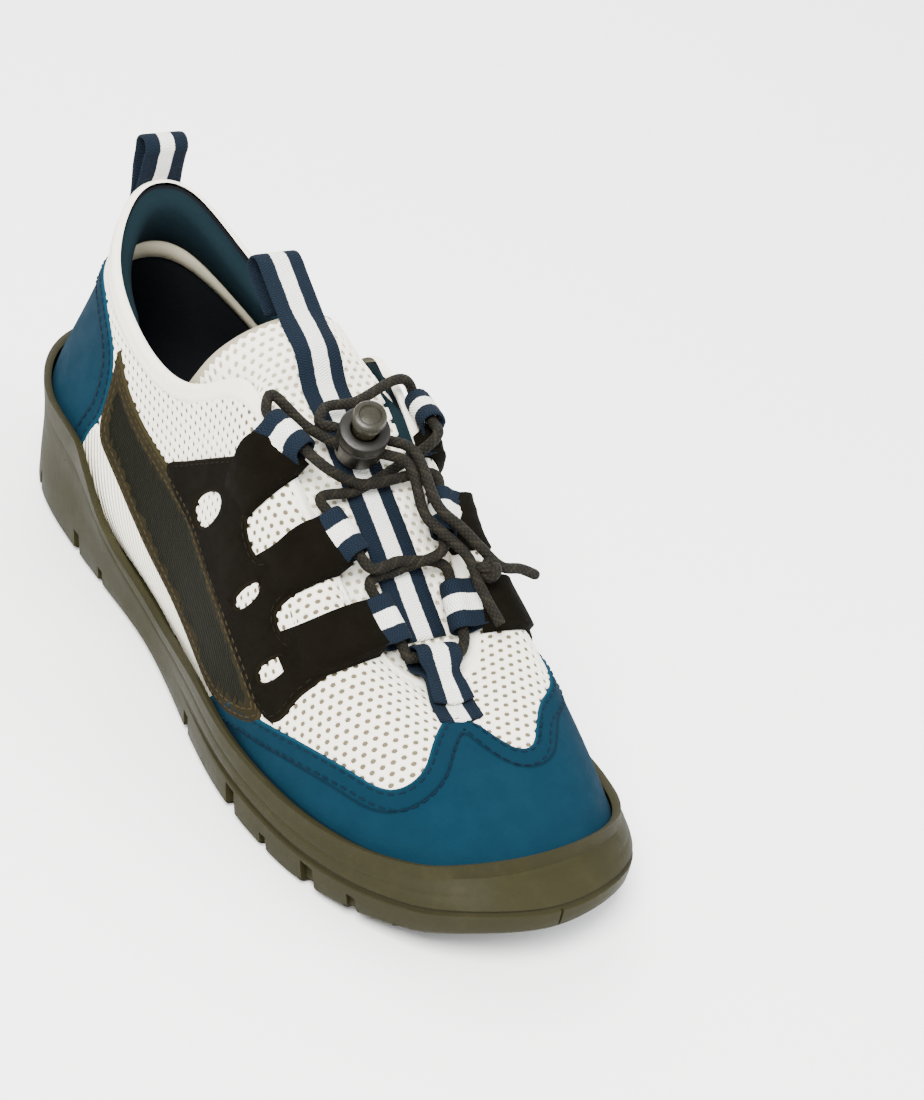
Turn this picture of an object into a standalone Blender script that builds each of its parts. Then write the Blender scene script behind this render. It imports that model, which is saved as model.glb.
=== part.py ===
"""Water shoe for the right foot: a mesh upper over a rubber cup sole, laced by a cord through loops.

Metres, +Z up. The toe points to -Y, the wearer's left (the inner side) is +X, and the sole stands on Z = 0.
The upper's form is a function of two numbers. `around` runs from the heel's back (0) along the outer side
to the toe's tip (1) and back along the inner side to the heel (2). `up` runs along the surface from the
sole (0) to the edge of the collar and throat (1). Every piece on the upper takes its place from that function.
"""

import math
from collections import namedtuple

import bmesh
import bpy
import numpy as np
from mathutils import Matrix, Vector

MM = 0.001

# Sizes of the sole
LENGTH = 285 * MM
BALL_WIDTH = 102 * MM
HEEL_STACK = 17 * MM
TOE_SPRING = 13 * MM
RIM_HEIGHT = 43 * MM
RIM_WALL = 2.6 * MM
SIDE_WALL = 4.0 * MM
GROOVE_DEPTH = 1.2 * MM
EDGE_ROUND = 3.2 * MM
ARCH_RADIUS = 160 * MM
ARCH_DEPTH = 3.5 * MM
ARCH_ALONG = 0.44
ARCH_FROM_MIDDLE = 8 * MM

# Sizes of the upper
COLLAR_HEIGHT = 104 * MM
UPPER_WALL = 2.2 * MM
OVERLAY = 1.2 * MM
GAP = 0.3 * MM
HEEL_CURVE = 10 * MM
CUP_LIFT = OVERLAY + 3 * GAP
INSOLE = 3 * MM
INSOLE_GAP = 0.6 * MM

TONGUE_WALL = 2.6 * MM
TONGUE_CROWN = 1.5 * MM
TONGUE_GAP = 1.0 * MM

# Webbing, cord and cord lock
WEBBING_WIDTH = 15 * MM
WEBBING = 1.1 * MM
CORD = 3.2 * MM
LOOP_BORE = 5.9 * MM
LOOP_LIFT = OVERLAY + 2.3 * MM
LACE_LOOP_REACH = 5.2 * MM
PULL_LOOP_REACH = 13 * MM
STRAP_STAND = 18 * MM
STRAP_RISE = math.radians(31.5)
LOCK_WIDTH = 15 * MM
LOCK_HEIGHT = 13 * MM
LOCK_EDGE = 1.2 * MM
BUTTON_WIDTH = 10 * MM
BUTTON_CAP = 4 * MM
BUTTON_EDGE = 0.6 * MM
STEM_WIDTH = 7.2 * MM
BUTTON_TRAVEL = 4.2 * MM
KNOT_WIDTH = 9 * MM
LANE = CORD / 2 + 2.5 * GAP
LOCK_SLOT = 2 * LANE + CORD + 3 * GAP
SLOT_LOW = 3.2 * MM
SLOT_HIGH = SLOT_LOW + CORD + 4 * GAP
LOCK_LIFT = 0.7 * MM

# The highest value of x * (1 - x)**3, at x = 1/4. It scales the wall's swell.
SWELL_PEAK = 27 / 256

# The net that every piece on the upper shares, so that their facets lie over one another
COLUMNS = 64
ROWS = 8

# The sole's outline: half widths as shares of BALL_WIDTH, along as a share of LENGTH from the heel
Outline = namedtuple("Outline", "along outer inner")
OUTLINE = (
    Outline(0.00, 0.000, 0.000),
    Outline(0.03, 0.220, 0.212),
    Outline(0.08, 0.322, 0.308),
    Outline(0.17, 0.384, 0.356),
    Outline(0.30, 0.398, 0.332),
    Outline(0.42, 0.412, 0.296),
    Outline(0.55, 0.470, 0.346),
    Outline(0.66, 0.518, 0.423),
    Outline(0.75, 0.515, 0.462),
    Outline(0.84, 0.466, 0.462),
    Outline(0.91, 0.386, 0.415),
    Outline(0.96, 0.284, 0.312),
    Outline(0.99, 0.146, 0.162),
    Outline(1.00, 0.000, 0.000),
)

# The sole's heights: tread as a share of TOE_SPRING, bed of HEEL_STACK, both rims of RIM_HEIGHT
Side = namedtuple("Side", "along tread bed outer_rim inner_rim")
SIDE = (
    Side(0.00, 0.55, 1.00, 1.00, 1.00),
    Side(0.04, 0.22, 1.00, 0.98, 0.93),
    Side(0.09, 0.04, 1.00, 0.94, 0.74),
    Side(0.13, 0.00, 0.98, 0.92, 0.62),
    Side(0.17, 0.00, 0.96, 0.92, 0.57),
    Side(0.21, 0.00, 0.94, 0.90, 0.56),
    Side(0.25, 0.00, 0.90, 0.78, 0.56),
    Side(0.31, 0.00, 0.86, 0.54, 0.54),
    Side(0.37, 0.04, 0.80, 0.41, 0.50),
    Side(0.44, 0.07, 0.72, 0.37, 0.47),
    Side(0.52, 0.04, 0.66, 0.44, 0.50),
    Side(0.58, 0.00, 0.62, 0.48, 0.49),
    Side(0.66, 0.00, 0.60, 0.46, 0.46),
    Side(0.78, 0.00, 0.60, 0.45, 0.45),
    Side(0.86, 0.18, 0.66, 0.47, 0.47),
    Side(0.93, 0.50, 0.85, 0.54, 0.54),
    Side(1.00, 1.00, 1.12, 0.64, 0.64),
)

# The edge of collar and throat: along is a share of LENGTH, the half widths of BALL_WIDTH, height of
# COLLAR_HEIGHT and bulge, the wall's outward swell, of HEEL_CURVE. round is the exponent of the wall's arc.
Edge = namedtuple("Edge", "around along outer inner height bulge round")
EDGE = (
    Edge(0.00, 0.069, 0.000, 0.000, 1.000, 0.62, 0.92),
    Edge(0.10, 0.084, 0.119, 0.119, 0.966, 0.66, 0.92),
    Edge(0.20, 0.133, 0.223, 0.223, 0.853, 0.70, 0.95),
    Edge(0.30, 0.217, 0.273, 0.273, 0.765, 0.60, 1.05),
    Edge(0.38, 0.301, 0.280, 0.280, 0.733, 0.45, 1.15),
    Edge(0.44, 0.375, 0.268, 0.268, 0.796, 0.40, 1.20),
    Edge(0.48, 0.421, 0.242, 0.242, 0.888, 0.35, 1.30),
    Edge(0.53, 0.463, 0.223, 0.223, 0.903, 0.30, 1.45),
    Edge(0.60, 0.533, 0.209, 0.209, 0.800, 0.20, 1.50),
    Edge(0.70, 0.615, 0.196, 0.196, 0.664, 0.10, 1.50),
    Edge(0.80, 0.684, 0.171, 0.171, 0.537, 0.00, 1.50),
    Edge(0.90, 0.732, 0.113, 0.113, 0.468, 0.00, 1.50),
    Edge(1.00, 0.745, 0.000, 0.000, 0.433, 0.00, 1.50),
)


def column(table, name):
    return [getattr(row, name) for row in table]


def spline(keys, values, parity):
    """A curve with no kinks through a table's rows. Beyond both ends the table is mirrored: parity 1 makes
    the curve level there, and parity -1 lets it run straight through zero."""
    keys, values = np.array(keys, float), np.array(values, float)
    span = keys[-1] - keys[0]
    x = np.concatenate([2 * keys[0] - keys[:0:-1], keys, 2 * keys[-1] - keys[-2::-1]])
    y = np.concatenate([parity * values[:0:-1], values, parity * values[-2::-1]])
    step = np.diff(x)
    system = np.eye(len(x))
    slopes = np.zeros(len(x))
    for i in range(1, len(x) - 1):
        system[i, i - 1 : i + 2] = step[i - 1], 2 * (step[i - 1] + step[i]), step[i]
        slopes[i] = 6 * ((y[i + 1] - y[i]) / step[i] - (y[i] - y[i - 1]) / step[i - 1])
    bend = np.linalg.solve(system, slopes)

    def at(q):
        q = np.clip(np.asarray(q, float), keys[0], keys[0] + span)
        i = np.clip(np.searchsorted(x, q) - 1, 0, len(x) - 2)
        h = step[i]
        left, right = (x[i + 1] - q) / h, (q - x[i]) / h
        cubic = (left**3 - left) * bend[i] + (right**3 - right) * bend[i + 1]
        return left * y[i] + right * y[i + 1] + cubic * h**2 / 6

    return at


def gentle(keys, values):
    """A curve through a table's rows that never passes beyond them, so that flat stretches stay flat."""
    x, y = np.array(keys, float), np.array(values, float)
    step = np.diff(x)
    rise = np.diff(y) / step
    slope = np.zeros_like(y)
    for i in range(1, len(x) - 1):
        if rise[i - 1] * rise[i] > 0:
            near, far = 2 * step[i] + step[i - 1], step[i] + 2 * step[i - 1]
            slope[i] = (near + far) / (near / rise[i - 1] + far / rise[i])

    def at(q):
        q = np.clip(np.asarray(q, float), x[0], x[-1])
        i = np.clip(np.searchsorted(x, q) - 1, 0, len(x) - 2)
        h = step[i]
        u = (q - x[i]) / h
        start = (1 + 2 * u) * (1 - u) ** 2 * y[i] + u * (1 - u) ** 2 * h * slope[i]
        end = u**2 * (3 - 2 * u) * y[i + 1] + u**2 * (u - 1) * h * slope[i + 1]
        return start + end

    return at


def from_heel(around):
    """0 at the heel's back and 1 at the toe's tip, on either side."""
    around = np.mod(np.asarray(around, float), 2.0)
    return np.where(around <= 1, around, 2 - around)


def is_inner(around):
    return np.mod(np.asarray(around, float), 2.0) > 1


def along_of(around):
    """The share of LENGTH where the sole's outline is at this `around`. Its cosine rounds heel and toe."""
    return (1 - np.cos(math.pi * from_heel(around))) / 2


def around_of(along):
    return np.arccos(1 - 2 * np.asarray(along, float)) / math.pi


OUTLINE_KEYS = around_of(column(OUTLINE, "along"))
OUTER_HALF = spline(OUTLINE_KEYS, column(OUTLINE, "outer"), -1)
INNER_HALF = spline(OUTLINE_KEYS, column(OUTLINE, "inner"), -1)
SAMPLES = np.linspace(0, 1, 201)
SWAY = (OUTER_HALF(SAMPLES).max() - INNER_HALF(SAMPLES).max()) * BALL_WIDTH / 2


def outline(around, inset=0.0):
    """Points of the sole's outline seen from above, moved inwards by inset, as an array of (x, y)."""

    def on_edge(a):
        q = from_heel(a)
        half = np.where(is_inner(a), INNER_HALF(q), -OUTER_HALF(q)) * BALL_WIDTH
        return np.stack([half + SWAY, LENGTH / 2 - along_of(a) * LENGTH], axis=-1)

    step = 1e-3
    run = on_edge(around + step) - on_edge(around - step)
    run /= np.linalg.norm(run, axis=-1, keepdims=True)
    inwards = np.stack([-run[..., 1], run[..., 0]], axis=-1)
    return on_edge(around) + inwards * np.asarray(inset)[..., None]


def side_curve(name, size):
    shape = gentle(column(SIDE, "along"), column(SIDE, name))
    return lambda around: shape(along_of(around)) * size


TREAD = side_curve("tread", TOE_SPRING)
BED = side_curve("bed", HEEL_STACK)
OUTER_RIM = side_curve("outer_rim", RIM_HEIGHT)
INNER_RIM = side_curve("inner_rim", RIM_HEIGHT)


def rim(around):
    """The height of the cup's rim on either side."""
    return np.where(is_inner(around), INNER_RIM(around), OUTER_RIM(around))


EDGE_KEYS = column(EDGE, "around")
EDGE_CURVE = {
    name: spline(EDGE_KEYS, column(EDGE, name), -1 if name in ("outer", "inner") else 1)
    for name in Edge._fields[1:]
}


class Form:
    """The upper's outer surface, sampled once on a fine net and then read at any (around, up)."""

    ROUND, RISE = 320, 60

    def __init__(self):
        around = np.linspace(0, 2, self.ROUND + 1)
        share = np.linspace(0, 1, 4 * self.RISE)
        net = np.array([self.wall(a, share) for a in around])
        steps = np.linalg.norm(np.diff(net, axis=1), axis=2)
        run = np.concatenate([np.zeros((len(net), 1)), np.cumsum(steps, axis=1)], axis=1)
        self.girth = run[:, -1]
        even = np.linspace(0, 1, self.RISE + 1)
        self.points = np.array(
            [
                [np.interp(even * r[-1], r, line[:, k]) for k in range(3)]
                for r, line in zip(run, net)
            ]
        ).transpose(0, 2, 1)
        closed = np.concatenate([self.points[-2:-1], self.points, self.points[1:2]])
        forward = closed[2:] - closed[:-2]
        upward = np.gradient(self.points, axis=1)
        normal = np.cross(forward, upward)
        self.normals = normal / np.linalg.norm(normal, axis=2, keepdims=True)

    def wall(self, around, share):
        """The line on the wall from the sole up to the edge: a superellipse arc with an outward swell."""
        q = from_heel(around)
        foot = outline(around, SIDE_WALL + CUP_LIFT)
        half = EDGE_CURVE["inner"](q) if is_inner(around) else -EDGE_CURVE["outer"](q)
        top = np.array([half * BALL_WIDTH + SWAY, LENGTH * (0.5 - EDGE_CURVE["along"](q))])
        low, high = BED(around) + GAP, EDGE_CURVE["height"](q) * COLLAR_HEIGHT
        power = 2 / EDGE_CURVE["round"](q)
        angle = share * math.pi / 2
        inwards = 1 - np.cos(angle) ** power
        rise = np.sin(angle) ** power
        outwards = foot - outline(around, SIDE_WALL + CUP_LIFT + MM)
        swell = EDGE_CURVE["bulge"](q) * HEEL_CURVE * rise * (1 - rise) ** 3 / SWELL_PEAK
        plan = foot + inwards[:, None] * (top - foot) + swell[:, None] * outwards / MM
        return np.column_stack([plan, low + rise * (high - low)])

    def read(self, net, around, up):
        a = np.mod(np.asarray(around, float), 2.0) / 2 * self.ROUND
        u = np.clip(np.asarray(up, float), 0, 1) * self.RISE
        a, u = np.broadcast_arrays(a, u)
        i = np.clip(a.astype(int), 0, self.ROUND - 1)
        j = np.clip(u.astype(int), 0, self.RISE - 1)
        s, t = (a - i)[..., None], (u - j)[..., None]
        low = net[i, j] * (1 - s) + net[i + 1, j] * s
        high = net[i, j + 1] * (1 - s) + net[i + 1, j + 1] * s
        return low * (1 - t) + high * t

    def at(self, around, up, lift=0.0):
        """Points on the surface, lifted off it by lift."""
        normal = self.read(self.normals, around, up)
        normal = normal / np.linalg.norm(normal, axis=-1, keepdims=True)
        return self.read(self.points, around, up) + normal * np.asarray(lift)[..., None]

    def up_at_height(self, around, height):
        """Where on the wall this height is."""
        q = np.mod(np.asarray(around, float), 2.0) / 2 * self.ROUND
        share = np.linspace(0, 1, self.RISE + 1)
        found = []
        for a, z in zip(q, height):
            i = min(int(a), self.ROUND - 1)
            heights = self.points[i, :, 2] * (1 - a + i) + self.points[i + 1, :, 2] * (a - i)
            found.append(np.interp(z, heights, share))
        return np.array(found)


FORM = Form()


# How far up the upper the overlays' feet are, hidden in the cup
OVERLAY_FOOT = 0.03

# Borders of the pieces that lie on the upper, in (around, up). A piece with both sides has its inner border
# written as seen on the outer side, or runs on past the toe at 1.
Border = namedtuple("Border", "around up")
CAP_EDGE = (
    Border(0.548, OVERLAY_FOOT),
    Border(0.565, 0.12),
    Border(0.595, 0.19),
    Border(0.635, 0.24),
    Border(0.690, 0.30),
    Border(0.745, 0.33),
    Border(0.790, 0.33),
    Border(0.822, 0.38),
    Border(0.863, 0.49),
    Border(0.889, 0.61),
    Border(0.921, 0.72),
    Border(0.950, 0.78),
    Border(0.979, 0.80),
    Border(1.008, 0.75),
    Border(1.029, 0.65),
    Border(1.050, 0.57),
    Border(1.078, 0.545),
    Border(1.110, 0.60),
    Border(1.150, 0.62),
    Border(1.200, 0.56),
    Border(1.260, 0.48),
    Border(1.330, 0.42),
    Border(1.390, 0.34),
    Border(1.430, 0.20),
    Border(1.450, OVERLAY_FOOT),
)
COUNTER_OUTER = (
    Border(0.00, 0.70),
    Border(0.10, 0.75),
    Border(0.18, 0.86),
    Border(0.22, 0.895),
    Border(0.26, 0.875),
    Border(0.286, 0.83),
    Border(0.302, 0.75),
    Border(0.310, 0.64),
    Border(0.314, 0.52),
    Border(0.306, 0.42),
    Border(0.300, OVERLAY_FOOT),
)
COUNTER_INNER = (
    Border(0.00, 0.70),
    Border(0.10, 0.78),
    Border(0.16, 0.86),
    Border(0.20, 0.86),
    Border(0.235, 0.74),
    Border(0.270, 0.50),
    Border(0.300, 0.30),
    Border(0.320, 0.14),
    Border(0.325, OVERLAY_FOOT),
)
BAND_BACK = (
    Border(0.300, 0.86),
    Border(0.308, 0.70),
    Border(0.318, 0.46),
    Border(0.359, 0.40),
    Border(0.400, 0.31),
    Border(0.440, 0.22),
    Border(0.480, 0.165),
    Border(0.522, 0.13),
    Border(0.570, 0.10),
)
BAND_FRONT = (
    Border(0.640, 0.22),
    Border(0.625, 0.315),
    Border(0.578, 0.378),
    Border(0.514, 0.435),
    Border(0.465, 0.545),
    Border(0.421, 0.655),
    Border(0.365, 0.735),
    Border(0.325, 0.805),
    Border(0.304, 0.87),
)
WEB_ARMS = (
    Border(0.421, 0.655),
    Border(0.451, 0.697),
    Border(0.487, 0.730),
    Border(0.520, 0.785),
    Border(0.546, 0.845),
    Border(0.578, 0.825),
    Border(0.566, 0.730),
    Border(0.557, 0.680),
    Border(0.562, 0.640),
    Border(0.584, 0.620),
    Border(0.606, 0.700),
    Border(0.628, 0.825),
    Border(0.669, 0.780),
    Border(0.640, 0.650),
    Border(0.626, 0.575),
    Border(0.628, 0.540),
    Border(0.648, 0.530),
    Border(0.674, 0.600),
    Border(0.700, 0.710),
    Border(0.731, 0.650),
    Border(0.700, 0.520),
    Border(0.672, 0.400),
    Border(0.660, 0.300),
)
WEB_FOOT_OUTER = (Border(0.640, 0.24), Border(0.560, 0.36), Border(0.500, 0.42), Border(0.440, 0.55))
WEB_FOOT_INNER = (
    Border(0.600, 0.28),
    Border(0.560, OVERLAY_FOOT),
    Border(0.310, OVERLAY_FOOT),
    Border(0.300, 0.36),
    Border(0.340, 0.50),
    Border(0.390, 0.62),
)
WEB_HOLES = (
    (
        Border(0.476, 0.52),
        Border(0.482, 0.60),
        Border(0.512, 0.65),
        Border(0.520, 0.60),
        Border(0.498, 0.48),
    ),
    (Border(0.565, 0.44), Border(0.590, 0.58), Border(0.602, 0.57), Border(0.578, 0.43)),
    (Border(0.616, 0.36), Border(0.646, 0.49), Border(0.658, 0.47), Border(0.628, 0.33)),
)

# The tongue's rows above the throat: middle and side edges as shares of LENGTH, COLLAR_HEIGHT and BALL_WIDTH
TongueRow = namedtuple("TongueRow", "middle_along middle_height edge_along edge_height half")
TONGUE_SHIFT = -0.018
TONGUE_TOP = (
    TongueRow(0.430, 0.985, 0.425, 0.790, 0.205),
    TongueRow(0.406, 1.015, 0.375, 0.735, 0.222),
    TongueRow(0.391, 1.030, 0.334, 0.740, 0.222),
)
TONGUE_COLUMNS = range(30, 16, -1)
TONGUE_SIDES = (0.75, 0.875, 1.0)
TONGUE_TUCK = 0.08
TONGUE_MIDDLE = (-0.6, -0.3, 0.0, 0.3, 0.6)
STRAP_ROWS = (3, 5, 7, 9, 11, 12, 13, 14, 15)

# The webbing loops: where each starts on the upper, where it crosses the edge of the throat or collar,
# and the slope at which it stands off the surface
LoopSeat = namedtuple("LoopSeat", "around up edge_around rise")
LACE_LOOPS = (
    LoopSeat(0.552, 0.78, 0.587, 0.25),
    LoopSeat(0.640, 0.76, 0.700, 0.2),
    LoopSeat(0.708, 0.66, 0.815, 0.2),
)
FRONT_LOOP = LoopSeat(0.979, 0.83, 0.979, 0.42)
PULL_LOOP = LoopSeat(0.0, 0.90, 0.0, 0.0)

# Where the cord crosses itself on the tongue, and where its upper run lies beside the crossing:
# along as a share of LENGTH, side from the middle as one of BALL_WIDTH
Crossing = namedtuple("Crossing", "along side")
LOWER_CROSSING = (Crossing(0.652, -0.01),)
UPPER_CROSSING = (Crossing(0.575, -0.06), Crossing(0.562, 0.08))

# The cord lock's middle, on its base, and the way its button points
LOCK_PLACE = Crossing(0.540, -0.005)
LOCK_AXIS = Vector((-0.22, -0.45, 0.86)).normalized()
LOCK_HOLE = Vector((0.80, -0.60, 0.0))

# The loose ends from the lock down to the knot, and past it: places on the upper with their height above it
CordPoint = namedtuple("CordPoint", "around up lift")
TAIL_ROUTE = (
    CordPoint(1.300, 0.985, 15.6 * MM),
    CordPoint(1.287, 0.948, 12.2 * MM),
    CordPoint(1.275, 0.905, 11.0 * MM),
)
KNOT_PLACE = CordPoint(1.262, 0.86, 10.6 * MM)

# The cord's way from the top loops into the lock: offsets from the loop's mouth, and from the lock's mouth
# or, on the inner side, from the lock's back
TOP_OUTER_START = Vector((2.0, 4.0, 3.5)) * MM
TOP_OUTER_END = Vector((0.0, 3.0, 1.0)) * MM
TOP_INNER_START = Vector((-2.0, 1.0, 4.0)) * MM
TOP_INNER_PAST = Vector((4.0, 6.0, 4.0)) * MM
TOP_INNER_TURN = Vector((-6.0, 5.0, 4.0)) * MM
TOP_OUTER_LEAD = 6 * MM
TOP_INNER_LEAD = 5 * MM
CORD_MEETING = MM
TAIL_LEADS = (1 * MM, 5 * MM, 9 * MM, 12 * MM)

# The two ends that stick out of the knot, as points from its middle in millimetres
CORD_END_A = (Vector((4.9, 0.3, -0.4)), Vector((11.5, 0.0, -2.2)), Vector((17.5, -0.8, -5.2)))
CORD_END_B = (Vector((-4.2, -2.6, -2.9)), Vector((-4.3, -8.0, -5.0)), Vector((-2.3, -13.4, -9.6)))

# Grooves across the tread: along as a share of LENGTH, width and depth
Lug = namedtuple("Lug", "along width depth")
LUGS = (
    Lug(0.055, 4 * MM, 2.2 * MM),
    Lug(0.105, 4 * MM, 2.2 * MM),
    Lug(0.235, 5 * MM, 2.2 * MM),
    Lug(0.300, 5 * MM, 2.2 * MM),
    Lug(0.565, 5 * MM, 2.2 * MM),
    Lug(0.625, 4 * MM, 2.2 * MM),
    Lug(0.690, 4 * MM, 2.2 * MM),
    Lug(0.755, 4 * MM, 2.2 * MM),
    Lug(0.820, 4 * MM, 2.2 * MM),
    Lug(0.875, 4 * MM, 2.2 * MM),
    Lug(0.925, 4 * MM, 2.0 * MM),
)

# Colours, roughness
Finish = namedtuple("Finish", "colour roughness")
FINISHES = {
    "rubber": Finish((0.145, 0.130, 0.085), 0.65),
    "mesh": Finish((0.72, 0.70, 0.62), 0.85),
    "suede": Finish((0.012, 0.105, 0.215), 0.90),
    "band": Finish((0.060, 0.052, 0.035), 0.85),
    "web": Finish((0.013, 0.011, 0.008), 0.90),
    "webbing": Finish((0.03, 0.07, 0.13), 0.80),
    "cord": Finish((0.05, 0.045, 0.03), 0.80),
    "insole": Finish((0.012, 0.012, 0.012), 0.95),
    "lock": Finish((0.12, 0.11, 0.085), 0.45),
}

# Flat stand-in sizes of one unit of around and of up, for outlines cut flat and then laid on the form
FLAT = Vector((430 * MM, 85 * MM, 1))

# A length that reaches past both sides of the shoe
WIDE = 400 * MM


def clear_scene():
    for obj in list(bpy.data.objects):
        bpy.data.objects.remove(obj, do_unlink=True)


def collection(name):
    made = bpy.data.collections.new(name)
    bpy.context.scene.collection.children.link(made)
    return made


def material(name):
    finish = FINISHES[name]
    made = bpy.data.materials.new(name)
    made.use_nodes = True
    shader = made.node_tree.nodes["Principled BSDF"]
    shader.inputs["Base Color"].default_value = (*finish.colour, 1)
    shader.inputs["Roughness"].default_value = finish.roughness
    shader.inputs["Metallic"].default_value = 0
    return made


clear_scene()
SHOE = collection("water_shoe")
CUTTERS = collection("cutters")
MATERIALS = {name: material(name) for name in FINISHES}


def mesh_object(name, vertices, faces, finish, group=None):
    mesh = bpy.data.meshes.new(name)
    mesh.from_pydata([tuple(map(float, v)) for v in vertices], [], faces)
    if finish:
        mesh.materials.append(MATERIALS[finish])
    obj = bpy.data.objects.new(name, mesh)
    (group or SHOE).objects.link(obj)
    return obj


def face_outwards(obj):
    body = bmesh.new()
    body.from_mesh(obj.data)
    bmesh.ops.recalc_face_normals(body, faces=body.faces)
    body.to_mesh(obj.data)
    body.free()


def smooth(obj, degrees=40):
    obj.data.shade_smooth()
    obj.data.set_sharp_from_angle(angle=math.radians(degrees))
    return obj


def bake_modifiers(obj):
    """Replaces the object's mesh with what its modifiers make of it."""
    shape = obj.evaluated_get(bpy.context.evaluated_depsgraph_get())
    mesh = bpy.data.meshes.new_from_object(shape)
    obj.modifiers.clear()
    obj.data = mesh
    return obj


def boolean(obj, other, operation):
    cut = obj.modifiers.new(operation.lower(), "BOOLEAN")
    cut.operation = operation
    cut.solver = "EXACT"
    cut.object = other
    return cut


def as_cutter(obj):
    for group in obj.users_collection:
        group.objects.unlink(obj)
    CUTTERS.objects.link(obj)
    obj.hide_render = True
    obj.display_type = "WIRE"
    return obj


def sheet(name, rows, finish, thickness, offset, closed=False, diagonal="FIXED"):
    """An open surface through rows of points, given its thickness by Solidify and cut into flat facets."""
    rows = np.asarray(rows)
    count, width = rows.shape[:2]
    faces = []
    for i in range(count if closed else count - 1):
        for j in range(width - 1):
            k = (i + 1) % count
            faces.append((i * width + j, k * width + j, k * width + j + 1, i * width + j + 1))
    obj = mesh_object(name, rows.reshape(-1, 3), faces, finish)
    shell = obj.modifiers.new("wall", "SOLIDIFY")
    shell.thickness = thickness
    shell.offset = offset
    facets = obj.modifiers.new("flat_facets", "TRIANGULATE")
    facets.quad_method = diagonal
    return smooth(obj)


def ring_arounds():
    return 2 * np.arange(COLUMNS) / COLUMNS


def loft_ring(name, sections, finish):
    """A closed solid from one open section per column. Each end of the sections closes across the shoe."""
    sections = np.asarray(sections)
    width = sections.shape[1]
    faces = []
    for i in range(COLUMNS):
        k = (i + 1) % COLUMNS
        for j in range(width - 1):
            faces.append((i * width + j, k * width + j, k * width + j + 1, i * width + j + 1))
    for end in (0, width - 1):
        faces.append((end, width + end, (COLUMNS - 1) * width + end))
        for i in range(1, COLUMNS // 2 - 1):
            loop = (i, i + 1, COLUMNS - i - 1, COLUMNS - i)
            faces.append(tuple(k * width + end for k in loop))
        toe = COLUMNS // 2
        faces.append(tuple(k * width + end for k in (toe - 1, toe, toe + 1)))
    obj = mesh_object(name, sections.reshape(-1, 3), faces, finish)
    face_outwards(obj)
    return smooth(obj, 30)


def sole_section(around):
    """The cup sole's section at one place, from the bed over the rim and down the side to the tread."""
    tread, bed, top = float(TREAD(around)), float(BED(around)), float(rim(around))
    lip = FORM.up_at_height([around], [top])[0]
    points = [np.append(outline(around, SIDE_WALL), bed)]
    for share in (0.1, 0.33, 0.66, 1.0):
        points.append(FORM.at(around, lip * share, CUP_LIFT))
    edge = FORM.at(around, lip, CUP_LIFT + RIM_WALL)
    points.append(edge)
    fade = np.clip((from_heel(around) - 0.5) / 0.15, 0, 1)
    groove = GROOVE_DEPTH * fade**2 * (3 - 2 * fade)
    for height, inset in ((0.80, 0), (0.60, 0), (0.57, groove), (0.52, groove), (0.49, 0)):
        side = outline(around, inset)
        lean = np.clip((height - 0.5) / 0.5, 0, 1) ** 1.6
        plan = side + lean * (edge[:2] - side)
        points.append(np.append(plan, tread + height * (top - tread)))
    points.append(np.append(outline(around, 0.35 * EDGE_ROUND), tread + 0.35 * EDGE_ROUND))
    points.append(np.append(outline(around, EDGE_ROUND), tread))
    return points


def make_outsole():
    sole = loft_ring("outsole", [sole_section(a) for a in ring_arounds()], "rubber")
    for lug in LUGS:
        tread = float(TREAD(around_of(lug.along)))
        cut_block(sole, lug.along, lug.width, tread + lug.depth)
    arch_cut(sole)
    return sole


def cut_block(sole, along, width, top):
    """Cuts a groove across the tread, from below the floor up to top."""
    bpy.ops.mesh.primitive_cube_add(size=1, location=(0, LENGTH / 2 - along * LENGTH, 0))
    block = bpy.context.object
    block.name = "tread_groove"
    block.scale = (WIDE, width, 2 * top)
    boolean(sole, as_cutter(block), "DIFFERENCE")


def arch_cut(sole):
    """The hollow under the inner waist."""
    y = LENGTH / 2 - ARCH_ALONG * LENGTH
    bpy.ops.mesh.primitive_cylinder_add(vertices=96, radius=ARCH_RADIUS, depth=WIDE)
    scoop = bpy.context.object
    scoop.rotation_euler.y = math.pi / 2
    scoop.location = (WIDE / 2 - ARCH_FROM_MIDDLE, y, ARCH_DEPTH - ARCH_RADIUS)
    scoop.name = "arch_hollow"
    boolean(sole, as_cutter(scoop), "DIFFERENCE")


def make_insole():
    sections = []
    for around in ring_arounds():
        bed = float(BED(around))
        ups = np.array([foot_of_wall(around), 1 / ROWS, 2 / ROWS])
        wall = FORM.at(np.full_like(ups, around), ups, -UPPER_WALL - INSOLE_GAP)
        section = []
        for height in (bed + INSOLE, bed + GAP):
            section.append([*(np.interp(height, wall[:, 2], wall[:, k]) for k in (0, 1)), height])
        sections.append(section)
    return loft_ring("insole", sections, "insole")


def foot_of_wall(around):
    """How far up the wall begins, so that its inner edge clears the bed."""
    ups = np.linspace(0, 1 / ROWS, 51)
    inner = FORM.at(np.full_like(ups, around), ups, -UPPER_WALL)[:, 2]
    clear = inner >= float(BED(around)) + GAP
    return ups[np.argmax(clear)]


def make_upper():
    rows = []
    for around in ring_arounds():
        ups = np.linspace(0, 1, ROWS + 1)
        ups[0] = foot_of_wall(around)
        rows.append(FORM.at(np.full_like(ups, around), ups))
    return sheet("upper", rows, "mesh", UPPER_WALL, -1, closed=True)


def soften(points, turns=1):
    """Cuts the corners of a closed outline, so that it runs in curves."""
    points = np.asarray(points, float)
    for _ in range(turns):
        ahead = np.roll(points, -1, axis=0)
        quarters = [0.75 * points + 0.25 * ahead, 0.25 * points + 0.75 * ahead]
        points = np.stack(quarters, axis=1).reshape(-1, 2)
    return points


def border(rows, inner=False):
    points = np.array(rows, float)
    if inner:
        points[:, 0] = 2 - points[:, 0]
    return points


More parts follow.
